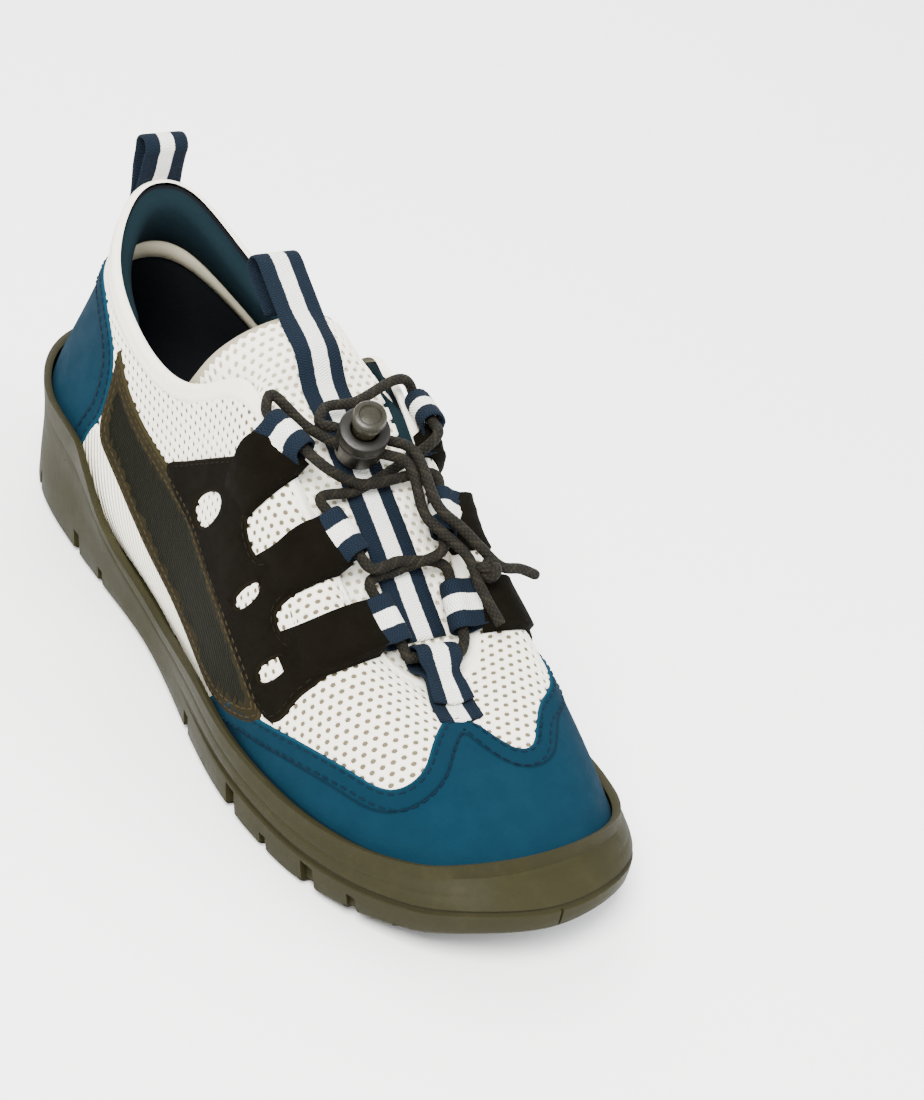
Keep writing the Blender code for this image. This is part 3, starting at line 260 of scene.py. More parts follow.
def outline(around, inset=0.0):
    """Points of the sole's outline seen from above, moved inwards by inset, as an array of (x, y)."""

    def on_edge(a):
        q = from_heel(a)
        half = np.where(is_inner(a), INNER_HALF(q), -OUTER_HALF(q)) * BALL_WIDTH
        return np.stack([half + SWAY, LENGTH / 2 - along_of(a) * LENGTH], axis=-1)

    step = 1e-3
    run = unit(on_edge(around + step) - on_edge(around - step))
    inwards = np.stack([-run[..., 1], run[..., 0]], axis=-1)
    return on_edge(around) + inwards * np.asarray(inset)[..., None]


def side_curve(name, size):
    shape = gentle(column(SIDE, "along"), column(SIDE, name))
    return lambda around: shape(along_of(around)) * size


TREAD = side_curve("tread", TOE_SPRING)
BED = side_curve("bed", HEEL_STACK)
OUTER_RIM = side_curve("outer_rim", RIM_HEIGHT)
INNER_RIM = side_curve("inner_rim", RIM_HEIGHT)


def rim(around):
    """The height of the cup's rim on either side."""
    return np.where(is_inner(around), INNER_RIM(around), OUTER_RIM(around))


EDGE_KEYS = column(EDGE, "around")
EDGE_CURVE = {
    name: spline(EDGE_KEYS, column(EDGE, name), -1 if name in ("outer", "inner") else 1)
    for name in Edge._fields[1:]
}


class Form:
    """The upper's outer surface, sampled once on a fine net and then read at any (around, up)."""

    ROUND, RISE = 320, 60

    def __init__(self):
        around = np.linspace(0, 2, self.ROUND + 1)
        share = np.linspace(0, 1, 4 * self.RISE)
        net = np.array([self.wall(a, share) for a in around])
        steps = np.linalg.norm(np.diff(net, axis=1), axis=2)
        run = np.concatenate([np.zeros((len(net), 1)), np.cumsum(steps, axis=1)], axis=1)
        self.girth = run[:, -1]
        even = np.linspace(0, 1, self.RISE + 1)
        self.points = np.array(
            [
                [np.interp(even * r[-1], r, line[:, k]) for k in range(3)]
                for r, line in zip(run, net)
            ]
        ).transpose(0, 2, 1)
        closed = np.concatenate([self.points[-2:-1], self.points, self.points[1:2]])
        forward = closed[2:] - closed[:-2]
        upward = np.gradient(self.points, axis=1)
        self.normals = unit(np.cross(forward, upward))

    def wall(self, around, share):
        """The line on the wall from the sole up to the edge: a superellipse arc with an outward swell."""
        q = from_heel(around)
        foot = outline(around, SIDE_WALL + CUP_LIFT)
        half = EDGE_CURVE["inner"](q) if is_inner(around) else -EDGE_CURVE["outer"](q)
        top = np.array([half * BALL_WIDTH + SWAY, LENGTH * (0.5 - EDGE_CURVE["along"](q))])
        low, high = BED(around) + GAP, EDGE_CURVE["height"](q) * COLLAR_HEIGHT
        power = 2 / EDGE_CURVE["round"](q)
        angle = share * math.pi / 2
        inwards = 1 - np.cos(angle) ** power
        rise = np.sin(angle) ** power
        outwards = foot - outline(around, SIDE_WALL + CUP_LIFT + MM)
        swell = EDGE_CURVE["bulge"](q) * HEEL_CURVE * rise * (1 - rise) ** 3 / SWELL_PEAK
        plan = foot + inwards[:, None] * (top - foot) + swell[:, None] * outwards / MM
        return np.column_stack([plan, low + rise * (high - low)])

    def read(self, net, around, up):
        a = np.mod(np.asarray(around, float), 2.0) / 2 * self.ROUND
        u = np.clip(np.asarray(up, float), 0, 1) * self.RISE
        a, u = np.broadcast_arrays(a, u)
        i = np.clip(a.astype(int), 0, self.ROUND - 1)
        j = np.clip(u.astype(int), 0, self.RISE - 1)
        s, t = (a - i)[..., None], (u - j)[..., None]
        low = net[i, j] * (1 - s) + net[i + 1, j] * s
        high = net[i, j + 1] * (1 - s) + net[i + 1, j + 1] * s
        return low * (1 - t) + high * t

    def at(self, around, up, lift=0.0):
        """Points on the surface, lifted off it by lift."""
        normal = unit(self.read(self.normals, around, up))
        return self.read(self.points, around, up) + normal * np.asarray(lift)[..., None]

    def up_at_height(self, around, height):
        """Where on the wall this height is."""
        q = np.mod(np.asarray(around, float), 2.0) / 2 * self.ROUND
        share = np.linspace(0, 1, self.RISE + 1)
        found = []
        for a, z in zip(q, height):
            i = min(int(a), self.ROUND - 1)
            heights = self.points[i, :, 2] * (1 - a + i) + self.points[i + 1, :, 2] * (a - i)
            found.append(np.interp(z, heights, share))
        return np.array(found)


FORM = Form()


# How far up the upper the overlays' feet are, hidden in the cup
OVERLAY_FOOT = 0.03

# Borders of the pieces that lie on the upper, in (around, up). A piece with both sides has its inner border
# written as seen on the outer side, or runs on past the toe at 1.
Border = namedtuple("Border", "around up")
CAP_EDGE = (
    Border(0.548, OVERLAY_FOOT),
    Border(0.565, 0.12),
    Border(0.595, 0.19),
    Border(0.635, 0.24),
    Border(0.690, 0.30),
    Border(0.745, 0.33),
    Border(0.790, 0.33),
    Border(0.822, 0.38),
    Border(0.863, 0.49),
    Border(0.889, 0.61),
    Border(0.921, 0.72),
    Border(0.950, 0.78),
    Border(0.979, 0.80),
    Border(1.008, 0.75),
    Border(1.029, 0.65),
    Border(1.050, 0.57),
    Border(1.078, 0.545),
    Border(1.110, 0.60),
    Border(1.150, 0.62),
    Border(1.200, 0.56),
    Border(1.260, 0.48),
    Border(1.330, 0.42),
    Border(1.390, 0.34),
    Border(1.430, 0.20),
    Border(1.450, OVERLAY_FOOT),
)
COUNTER_OUTER = (
    Border(0.00, 0.70),
    Border(0.10, 0.75),
    Border(0.18, 0.86),
    Border(0.22, 0.895),
    Border(0.26, 0.875),
    Border(0.286, 0.83),
    Border(0.302, 0.75),
    Border(0.310, 0.64),
    Border(0.314, 0.52),
    Border(0.306, 0.42),
    Border(0.300, OVERLAY_FOOT),
)
COUNTER_INNER = (
    Border(0.00, 0.70),
    Border(0.10, 0.78),
    Border(0.16, 0.86),
    Border(0.20, 0.86),
    Border(0.235, 0.74),
    Border(0.270, 0.50),
    Border(0.300, 0.30),
    Border(0.320, 0.14),
    Border(0.325, OVERLAY_FOOT),
)
BAND_BACK = (
    Border(0.300, 0.86),
    Border(0.308, 0.70),
    Border(0.318, 0.46),
    Border(0.359, 0.40),
    Border(0.400, 0.31),
    Border(0.440, 0.22),
    Border(0.480, 0.165),
    Border(0.522, 0.13),
    Border(0.570, 0.10),
)
BAND_FRONT = (
    Border(0.640, 0.22),
    Border(0.625, 0.315),
    Border(0.578, 0.378),
    Border(0.514, 0.435),
    Border(0.465, 0.545),
    Border(0.421, 0.655),
    Border(0.365, 0.735),
    Border(0.325, 0.805),
    Border(0.304, 0.87),
)
WEB_ARMS = (
    Border(0.421, 0.655),
    Border(0.451, 0.697),
    Border(0.487, 0.730),
    Border(0.520, 0.785),
    Border(0.546, 0.845),
    Border(0.578, 0.825),
    Border(0.566, 0.730),
    Border(0.557, 0.680),
    Border(0.562, 0.640),
    Border(0.584, 0.620),
    Border(0.606, 0.700),
    Border(0.628, 0.825),
    Border(0.669, 0.780),
    Border(0.640, 0.650),
    Border(0.626, 0.575),
    Border(0.628, 0.540),
    Border(0.648, 0.530),
    Border(0.674, 0.600),
    Border(0.700, 0.710),
    Border(0.731, 0.650),
    Border(0.700, 0.520),
    Border(0.672, 0.400),
    Border(0.660, 0.300),
)
WEB_FOOT_OUTER = (Border(0.640, 0.24), Border(0.560, 0.36), Border(0.500, 0.42), Border(0.440, 0.55))
WEB_FOOT_INNER = (
    Border(0.600, 0.28),
    Border(0.560, OVERLAY_FOOT),
    Border(0.310, OVERLAY_FOOT),
    Border(0.300, 0.36),
    Border(0.340, 0.50),
    Border(0.390, 0.62),
)
WEB_HOLES = (
    (
        Border(0.476, 0.52),
        Border(0.482, 0.60),
        Border(0.512, 0.65),
        Border(0.520, 0.60),
        Border(0.498, 0.48),
    ),
    (Border(0.565, 0.44), Border(0.590, 0.58), Border(0.602, 0.57), Border(0.578, 0.43)),
    (Border(0.616, 0.36), Border(0.646, 0.49), Border(0.658, 0.47), Border(0.628, 0.33)),
)

# The tongue's rows above the throat: middle and side edges as shares of LENGTH, COLLAR_HEIGHT and BALL_WIDTH
TongueRow = namedtuple("TongueRow", "middle_along middle_height edge_along edge_height half")
TONGUE_SHIFT = -0.018
TONGUE_TOP = (
    TongueRow(0.430, 0.985, 0.425, 0.790, 0.205),
    TongueRow(0.406, 1.015, 0.375, 0.735, 0.222),
    TongueRow(0.391, 1.030, 0.334, 0.740, 0.222),
)
TONGUE_COLUMNS = range(30, 16, -1)
TONGUE_SIDES = (0.75, 0.875, 1.0)
TONGUE_TUCK = 0.08
TONGUE_MIDDLE = (-0.6, -0.3, 0.0, 0.3, 0.6)
TONGUE_CENTRE = len(TONGUE_SIDES) + len(TONGUE_MIDDLE) // 2
STRAP_ROWS = (3, 5, 7, 9, 11, 12, 13, 14, 15)

# The webbing loops: where each starts on the upper, where it crosses the edge of the throat or collar,
# and the slope at which it stands off the surface
LoopSeat = namedtuple("LoopSeat", "around up edge_around rise")
LACE_LOOPS = (
    LoopSeat(0.552, 0.78, 0.587, 0.25),
    LoopSeat(0.640, 0.76, 0.700, 0.2),
    LoopSeat(0.708, 0.66, 0.815, 0.2),
)
FRONT_LOOP = LoopSeat(0.979, 0.83, 0.979, 0.42)
PULL_LOOP = LoopSeat(0.0, 0.90, 0.0, 0.0)

# Where the cord crosses itself on the tongue, and where its upper run lies beside the crossing:
# along as a share of LENGTH, side from the middle as one of BALL_WIDTH
Crossing = namedtuple("Crossing", "along side")
LOWER_CROSSING = (Crossing(0.652, -0.01),)
UPPER_CROSSING = (Crossing(0.575, -0.06), Crossing(0.562, 0.08))

# The cord lock's middle, on its base, and the way its button points
LOCK_PLACE = Crossing(0.540, -0.005)
LOCK_AXIS = Vector((-0.22, -0.45, 0.86)).normalized()
LOCK_HOLE = Vector((0.80, -0.60, 0.0))

# The loose ends from the lock down to the knot, and past it: places on the upper with their height above it
CordPoint = namedtuple("CordPoint", "around up lift")
TAIL_ROUTE = (
    CordPoint(1.300, 0.985, 15.6 * MM),
    CordPoint(1.287, 0.948, 12.2 * MM),
    CordPoint(1.275, 0.905, 11.0 * MM),
)
KNOT_PLACE = CordPoint(1.262, 0.86, 10.6 * MM)

# The cord's way from the top loops into the lock: offsets from the loop's mouth, and from the lock's mouth
# or, on the inner side, from the lock's back
TOP_OUTER_START = Vector((2.0, 4.0, 3.5)) * MM
TOP_OUTER_END = Vector((0.0, 3.0, 1.0)) * MM
TOP_INNER_START = Vector((-2.0, 1.0, 4.0)) * MM
TOP_INNER_PAST = Vector((4.0, 6.0, 4.0)) * MM
TOP_INNER_TURN = Vector((-6.0, 5.0, 4.0)) * MM
TOP_OUTER_LEAD = 6 * MM
TOP_INNER_LEAD = 5 * MM
CORD_MEETING = MM
TAIL_LEADS = (1 * MM, 5 * MM, 9 * MM, 12 * MM)

# The two ends that stick out of the knot, as points from its middle in millimetres
CORD_END_A = (Vector((4.9, 0.3, -0.4)), Vector((11.5, 0.0, -2.2)), Vector((17.5, -0.8, -5.2)))
CORD_END_B = (Vector((-4.2, -2.6, -2.9)), Vector((-4.3, -8.0, -5.0)), Vector((-2.3, -13.4, -9.6)))


# Grooves across the tread: along as a share of LENGTH, width and depth
Lug = namedtuple("Lug", "along width depth")
LUGS = (
    Lug(0.055, 4 * MM, 2.2 * MM),
    Lug(0.105, 4 * MM, 2.2 * MM),
    Lug(0.235, 5 * MM, 2.2 * MM),
    Lug(0.300, 5 * MM, 2.2 * MM),
    Lug(0.565, 5 * MM, 2.2 * MM),
    Lug(0.625, 4 * MM, 2.2 * MM),
    Lug(0.690, 4 * MM, 2.2 * MM),
    Lug(0.755, 4 * MM, 2.2 * MM),
    Lug(0.820, 4 * MM, 2.2 * MM),
    Lug(0.875, 4 * MM, 2.2 * MM),
    Lug(0.925, 4 * MM, 2.0 * MM),
)


def foot_of_wall(around):
    """How far up the wall begins, so that its inner edge clears the bed."""
    ups = np.linspace(0, 1 / ROWS, 51)
    inner = FORM.at(np.full_like(ups, around), ups, -UPPER_WALL)[:, 2]
    clear = inner >= float(BED(around)) + GAP
    return ups[np.argmax(clear)]


def soften(points, turns=1):
    """Cuts the corners of a closed outline, so that it runs in curves."""
    points = np.asarray(points, float)
    for _ in range(turns):
        ahead = np.roll(points, -1, axis=0)
        pairs = [0.75 * points + 0.25 * ahead, 0.25 * points + 0.75 * ahead]
        points = np.stack(pairs, axis=1).reshape(-1, 2)
    return points


def border(rows, inner=False):
    points = np.array(rows, float)
    if inner:
        points[:, 0] = 2 - points[:, 0]
    return points


def tongue_net():
    """Rows of points across the tongue's upper side, from under the toe cap up to its top edge."""
    rows = []
    for column_number in TONGUE_COLUMNS:
        around = 2 * column_number / COLUMNS
        lift = -(UPPER_WALL + TONGUE_GAP)
        outer = FORM.at(np.full(3, around), TONGUE_SIDES, lift)
        inner = FORM.at(np.full(3, 2 - around), TONGUE_SIDES, lift)
        narrowing = np.interp(around, (0.53, 0.75), (TONGUE_TUCK, 0))
        for side in (outer, inner):
            side[:, 0] -= narrowing * (side[:, 0] - SWAY)
        left, right = outer[-1], inner[-1]
        crown = TONGUE_CROWN * min(1, np.linalg.norm(right - left) / (0.4 * BALL_WIDTH))
        share = np.array(TONGUE_MIDDLE)[:, None]
        middle = (left + right) / 2 + share * (right - left) / 2
        middle[:, 2] += crown * (1 - share[:, 0] ** 2)
        rows.append(np.concatenate([outer, middle, inner[::-1]]))
    turn = np.linspace(-math.pi / 2, math.pi / 2, len(rows[0]))
    for row in TONGUE_TOP:
        rise = np.cos(turn) ** 0.7
        x = SWAY + TONGUE_SHIFT * BALL_WIDTH * (1 - rise) + row.half * BALL_WIDTH * np.sin(turn)
        along = row.edge_along + rise * (row.middle_along - row.edge_along)
        height = row.edge_height + rise * (row.middle_height - row.edge_height)
        rows.append(np.column_stack([x, LENGTH * (0.5 - along), height * COLLAR_HEIGHT]))
    return np.array(rows)


def across(row, centre, offsets, lift):
    """Points on one row of the tongue at these offsets from its middle, lifted off it."""
    x, y, z = row[2:-2].T
    reach = centre + offsets
    return np.column_stack([reach, np.interp(reach, x, y), np.interp(reach, x, z)]) + lift


def shift_on_form(around, up, vector):
    """The change in (around, up) that moves a point on the form by a vector along its surface."""
    step = 0.01
    along = (FORM.at(around + step, up) - FORM.at(around - step, up)) / (2 * step)
    low, high = min(up, 1 - step) - step, min(up, 1 - step) + step
    upward = (FORM.at(around, high) - FORM.at(around, low)) / (2 * step)
    shift, *_ = np.linalg.lstsq(np.column_stack([along, upward]), vector, rcond=None)
    return shift


class Loop:
    """A webbing loop: sewn flat on the upper and folded round the cord beyond the upper's edge."""

    def __init__(self, seat, inner=False, reach=LACE_LOOP_REACH, base_lift=LOOP_LIFT):
        turn = (lambda a: 2 - a) if inner else (lambda a: a)
        self.start = np.array([turn(seat.around), seat.up])
        self.edge = np.array([turn(seat.edge_around), 1.0])
        root, tip = FORM.at(*self.start), FORM.at(*self.edge)
        halfway = (self.start + self.edge) / 2
        out = unit(tip - root)
        normal = (FORM.at(*halfway, MM) - FORM.at(*halfway)) / MM
        self.out = unit(out + seat.rise * normal)
        self.normal = unit(normal - self.out * normal.dot(self.out))
        self.width = np.cross(self.normal, self.out)
        self.base = base_lift + WEBBING / 2
        self.radius = (LOOP_BORE + WEBBING) / 2
        self.stack = self.base + WEBBING + GAP
        self.middle = (self.base + self.stack) / 2
        self.tip = tip
        self.reach = reach
        self.long_root = False
        self.eye = Vector(tip + self.out * (reach + GAP) + self.normal * self.middle)

    def place(self, share):
        """The tape's middle there in (around, up), and the change that leads to its side."""
        at = self.start + share * (self.edge - self.start)
        return at, shift_on_form(at[0], at[1], self.width * WEBBING_WIDTH / 2)

    def on_form(self, share, lift):
        at, shift = self.place(share)
        return [FORM.at(at[0] + k * shift[0], min(1.0, at[1] + k * shift[1]), lift) for k in (-1, 0, 1)]

    def beyond(self, out, lift):
        half = WEBBING_WIDTH / 2
        middle = self.tip + self.out * out + self.normal * lift
        return [middle + self.width * half * k for k in (-1, 0, 1)]


def smooth_path(points, spacing):
    """Evenly spaced points on a smooth curve through these."""
    p = np.array([tuple(v) for v in points])
    length = np.linalg.norm(np.diff(p, axis=0), axis=1)[:, None]
    slope = np.diff(p, axis=0) / length
    inner = (slope[:-1] * length[1:] + slope[1:] * length[:-1]) / (length[:-1] + length[1:])
    slope = np.vstack([slope[:1], inner, slope[-1:]])
    t = np.linspace(0, 1, 24, endpoint=False)[:, None]
    fine = []
    for k in range(len(p) - 1):
        bend = (t**3 - 2 * t**2 + t) * slope[k] + (t**3 - t**2) * slope[k + 1]
        step = ease(t)
        fine.append((1 - step) * p[k] + step * p[k + 1] + bend * length[k])
    fine = np.vstack([*fine, p[-1:]])
    run = run_along(fine)
    count = max(3, int(round(run[-1] / spacing)) + 1)
    even = np.linspace(0, run[-1], count)
    return np.column_stack([np.interp(even, run, fine[:, k]) for k in range(3)])


def eye_end(loop, towards, lead=0.6 * CORD):
    """The middle of a loop's eye and its mouth on the side that faces towards a point."""
    way = Vector(loop.width)
    if way.dot(Vector(towards) - loop.eye) < 0:
        way = -way
    half = WEBBING_WIDTH / 2
    return [loop.eye + way * reach for reach in (2 * GAP, 0.5 * half, half, half + lead)]


def over_tongue(along, side):
    """The middle of a cord that lies on the tongue's webbing there."""
    line = tongue_net()[:, TONGUE_CENTRE]
    y = LENGTH / 2 - along * LENGTH
    height = np.interp(y, line[:, 1], line[:, 2])
    slope = (np.interp(y + MM, line[:, 1], line[:, 2]) - height) / MM
    lift = (TONGUE_GAP + WEBBING + 3.5 * GAP + CORD / 2) * math.hypot(1, slope)
    return Vector((SWAY + side * BALL_WIDTH, y, height + lift))


def lock_frame():
    along = LOCK_HOLE - LOCK_AXIS * LOCK_HOLE.dot(LOCK_AXIS)
    along.normalize()
    return along, LOCK_AXIS.cross(along), LOCK_AXIS


def lock_base():
    return over_tongue(*LOCK_PLACE) + LOCK_AXIS * LOCK_LIFT


def beside(rows, before, shift):
    """The places of a route, moved sideways along the surface by shift."""
    middle = [Vector(FORM.at(row.around, row.up, row.lift)) for row in rows]
    normals = [spot - Vector(FORM.at(row.around, row.up)) for spot, row in zip(middle, rows)]
    moved = []
    for spot, ahead, normal in zip([before, *middle], [*middle], normals):
        way = (ahead - spot).cross(normal).normalized()
        moved.append(ahead - way * shift)
    return moved


# Flat stand-in sizes of one unit of around and of up, for outlines that are filled flat and then laid on
# the form
FLAT = Vector((430 * MM, 85 * MM, 1))

# A length that reaches past both sides of the shoe
WIDE = 400 * MM

# Where the camera stands and how it is turned, in metres and degrees. FOCAL is its lens on a 36 mm sensor.
CAMERA_AT = Vector((-0.3601, -0.5123, 0.4575))
CAMERA_AZIMUTH = -39.20
CAMERA_ELEVATION = 32.76
CAMERA_ROLL = -12.55
SENSOR = 36.0
FOCAL = 81.8

BODY = "shoe"
FINE_ROUND = Form.ROUND
FINE_RISE = Form.RISE

# The air mesh: the distance between holes and between their rows, and each hole's half width and half height
HOLE_PITCH = 3.2 * MM
HOLE_ROWS = 2.75 * MM
HOLE_HALF = (0.98 * MM, 0.78 * MM)
STRAND = 0.55 * MM
HOLE_CORNERS = 6
MESH_LIFT = 0.15 * MM


def to_linear(*srgb):
    """A colour as the eye reads it, 0 to 255, in the renderer's own scale."""
    return tuple(((v / 255 + 0.055) / 1.055) ** 2.4 if v > 10 else v / 255 / 12.92 for v in srgb)


class Shading:
    """A material under construction. Its nodes are added from the surface's pattern towards its shader."""

    def __init__(self, name, colour, roughness, **fixed):
        self.material = bpy.data.materials.new(name)
        self.material.use_nodes = True
        self.tree = self.material.node_tree
        self.shader = self.tree.nodes["Principled BSDF"]
        self.shader.inputs["Base Color"].default_value = (*colour, 1)
        self.shader.inputs["Roughness"].default_value = roughness
        for key, value in fixed.items():
            self.shader.inputs[key.replace("_", " ")].default_value = value

    def add(self, kind, inputs=None, **settings):
        node = self.tree.nodes.new("ShaderNode" + kind)
        for key, value in settings.items():
            setattr(node, key, value)
        for key, value in (inputs or {}).items():
            self.feed(node.inputs[key], value)
        return node

    def feed(self, socket, value):
        if isinstance(value, bpy.types.NodeSocket):
            self.tree.links.new(value, socket)
        else:
            socket.default_value = value

    def math(self, operation, a, b=0.0, c=0.0):
        return self.add("Math", {0: a, 1: b, 2: c}, operation=operation).outputs[0]

    def place(self):
        return self.add("TexCoord").outputs["Object"]

    def uv(self, layer):
        split = self.add("SeparateXYZ", {0: self.add("UVMap", uv_map=layer).outputs[0]})
        return split.outputs[0], split.outputs[1]

    def noise(self, size, detail=3.0, roughness=0.55):
        """Noise whose spots are about this size in metres."""
        inputs = {"Vector": self.place(), "Scale": 1 / size, "Detail": detail, "Roughness": roughness}
        return self.add("TexNoise", inputs).outputs[0]

    def step(self, value, low, high, start=0.0, end=1.0):
        inputs = {0: value, 1: low, 2: high, 3: start, 4: end}
        return self.add("MapRange", inputs, interpolation_type="SMOOTHSTEP").outputs[0]

    def mix(self, share, a, b):
        node = self.add("Mix", {0: share}, data_type="RGBA")
        for socket, value in ((node.inputs[6], a), (node.inputs[7], b)):
            self.feed(socket, value if isinstance(value, bpy.types.NodeSocket) else (*value, 1))
        return node.outputs[2]

    def product(self, a, b):
        return self.math("MULTIPLY", a, b)

    def colour(self, value):
        self.feed(self.shader.inputs["Base Color"], value)

    def rough(self, value):
        self.feed(self.shader.inputs["Roughness"], value)

    def relief(self, *layers):
        """Bumps, each as (height, depth in metres)."""
        normal = None
        for height, depth in layers:
            inputs = {"Height": height, "Distance": depth, "Strength": 1.0}
            if normal:
                inputs["Normal"] = normal
            normal = self.add("Bump", inputs).outputs[0]
        self.feed(self.shader.inputs["Normal"], normal)


def rubber_material():
    dark, light = to_linear(27, 25, 11), to_linear(38, 36, 18)
    look = Shading("rubber", dark, 0.62, Specular_IOR_Level=0.1)
    patches = look.noise(40 * MM, 4)
    grain = look.noise(0.45 * MM, 2)
    dust = look.step(look.noise(9 * MM, 6, 0.7), 0.45, 0.75)
    body = look.mix(patches, dark, light)
    look.colour(look.mix(look.product(dust, 0.3), body, to_linear(46, 43, 24)))
    look.rough(look.step(patches, 0.3, 0.7, 0.55, 0.72))
    look.relief((grain, 0.12 * MM), (look.noise(3 * MM, 3), 0.10 * MM))
    return look.material


def knit_material(name, tone, shade, fleck=0.5):
    look = Shading(name, to_linear(*tone), 0.9, Specular_IOR_Level=0.08)
    yarn = look.noise(0.35 * MM, 3, 0.6)
    worn = look.noise(22 * MM, 4, 0.6)
    share = look.math("MULTIPLY_ADD", yarn, fleck, look.product(worn, 0.35))
    look.colour(look.mix(share, to_linear(*shade), to_linear(*tone)))
    look.rough(look.step(worn, 0.3, 0.7, 0.95, 0.82))
    look.relief((yarn, 0.22 * MM))
    return look.material


# The tone of the line where a hem ends
SEAM_TONE = to_linear(4, 16, 25)


def suede_material(name, tone, shade, edge_tone, nap=0.16 * MM, hem=0.0):
    """Short nap, in another tone on the cut edge. A hem this many millimetres wide is darker."""
    look = Shading(name, to_linear(*tone), 0.92, Specular_IOR_Level=0.04)
    fibres = look.noise(0.3 * MM, 4, 0.7)
    brushed = look.noise(9 * MM, 5, 0.6)
    body = look.mix(look.step(brushed, 0.35, 0.65, 0.4, 0.65), to_linear(*shade), to_linear(*tone))
    body = look.mix(look.product(fibres, 0.4), body, to_linear(*shade))
    across, _ = look.uv("border")
    if hem:
        body = look.mix(look.step(across, hem - 0.3, hem + 0.3, 0.55, 0.0), body, to_linear(*shade))
        past = look.math("SUBTRACT", across, hem)
        groove = look.step(look.math("PINGPONG", past, 0.8), 0.0, 0.8, 1.0, 0.4)
        near = look.step(look.math("ABSOLUTE", past), 0.2, 0.9, 0.6, 0.0)
        body = look.mix(look.product(near, groove), body, SEAM_TONE)
    body = look.mix(look.step(across, 0.35, 0.9, 0.6, 0.0), body, to_linear(*edge_tone))
    look.colour(body)
    look.rough(look.step(brushed, 0.3, 0.7, 0.96, 0.84))
    look.relief((fibres, nap), (brushed, 0.3 * MM))
    return look.material


def webbing_material():
    """Woven tape: navy with a white stripe along its middle. Both colours are painted darker in the twill's
    valleys and lighter on its ridges: painted shade.
    """
    look = Shading("webbing", to_linear(24, 50, 76), 0.85, Specular_IOR_Level=0.08)
    across, along = look.uv("weave")
    zigzag = look.math("PINGPONG", across, 0.9)
    twill = look.math("PINGPONG", look.math("MULTIPLY_ADD", zigzag, 0.7, along), 0.42)
    twill = look.step(twill, 0.0, 0.42)
    ribs = look.math("PINGPONG", across, 0.3)
    fuzz = look.noise(0.35 * MM, 3)
    waver = look.math("MULTIPLY_ADD", look.noise(1.2 * MM, 2), 0.5, -0.25)
    side = look.math("ADD", look.math("ABSOLUTE", across), waver)
    stripe = look.step(side, 2.45, 2.75)
    # Painted shade: each stripe runs from a darker colour in the twill's valleys to a lighter one on its
    # ridges.
    white = look.mix(twill, to_linear(204, 204, 194), to_linear(250, 249, 242))
    navy = look.mix(twill, to_linear(4, 10, 17), to_linear(9, 23, 36))
    body = look.mix(stripe, white, navy)
    look.colour(look.mix(look.product(fuzz, 0.12), body, to_linear(60, 66, 76)))
    look.rough(look.step(fuzz, 0.3, 0.7, 0.8, 0.95))
    look.relief((twill, 0.22 * MM), (ribs, 0.10 * MM), (fuzz, 0.08 * MM))
    return look.material


# The braid's strands in one turn round the cord
STRANDS = 6.0


def cord_material():
    """Round braid: strands that cross in diamonds, painted darker in the grooves between them and lighter on
    their crests, with a paler helical strand among them that is a painted highlight.
    """
    look = Shading("cord", to_linear(48, 45, 32), 0.8, Specular_IOR_Level=0.15)
    round_share, run = look.uv("weave")
    turn = look.product(round_share, STRANDS)
    rise = look.product(run, 0.62)
    strands = []
    for operation in ("ADD", "SUBTRACT"):
        slant = look.math(operation, turn, rise)
        wave = look.math("SINE", look.product(slant, math.pi))
        strands.append(look.math("ABSOLUTE", wave))
    diamonds = look.math("MULTIPLY", *strands)
    # Painted highlight: a paler helical strand that stands in for the light on the cord.
    slant = look.math("FRACT", look.math("MULTIPLY", look.math("ADD", turn, rise), 0.25))
    painted_highlight_strand = look.step(slant, 0.74, 0.80)
    fuzz = look.noise(0.25 * MM, 3)
    # Painted shade: the braid is darker in the grooves between the strands and lighter on their crests.
    body = look.mix(diamonds, to_linear(6, 5, 3), to_linear(26, 23, 15))
    body = look.mix(look.product(painted_highlight_strand, 0.25), body, to_linear(44, 40, 28))
    look.colour(look.mix(look.product(fuzz, 0.2), body, to_linear(20, 19, 13)))
    look.rough(look.step(fuzz, 0.3, 0.7, 0.7, 0.9))
    look.relief((diamonds, 0.2 * MM), (fuzz, 0.05 * MM))
    return look.material


def plastic_material(name, tone, shade, roughness):
    look = Shading(name, to_linear(*tone), roughness, Specular_IOR_Level=0.25)
    cloud = look.noise(6 * MM, 4, 0.6)
    grain = look.noise(0.3 * MM, 2)
    look.colour(look.mix(cloud, to_linear(*shade), to_linear(*tone)))
    look.rough(look.step(grain, 0.3, 0.7, roughness - 0.06, roughness + 0.08))
    look.relief((grain, 0.03 * MM))
    return look.material


def rib_material(name, tone, shade, pitch, slant):
    """Cloth with raised ribs that run aslant, its colour painted darker in the valleys between the ribs:
    painted shade.
    """
    look = Shading(name, to_linear(*tone), 0.85, Specular_IOR_Level=0.08)
    along, up = look.uv("weave")
    ridge = look.math("MULTIPLY_ADD", up, slant, along)
    ridge = look.step(look.math("PINGPONG", ridge, pitch / 2), 0.0, pitch / 2)
    yarn = look.noise(0.35 * MM, 3)
    # Painted shade: the colour runs from the second colour in the ribs' valleys to the tone on their crests.
    body = look.mix(ridge, to_linear(*shade), to_linear(*tone))
    look.colour(look.mix(look.product(yarn, 0.25), body, to_linear(*shade)))
    look.rough(look.step(yarn, 0.3, 0.7, 0.8, 0.95))
    look.relief((ridge, 0.4 * MM), (yarn, 0.1 * MM))
    return look.material


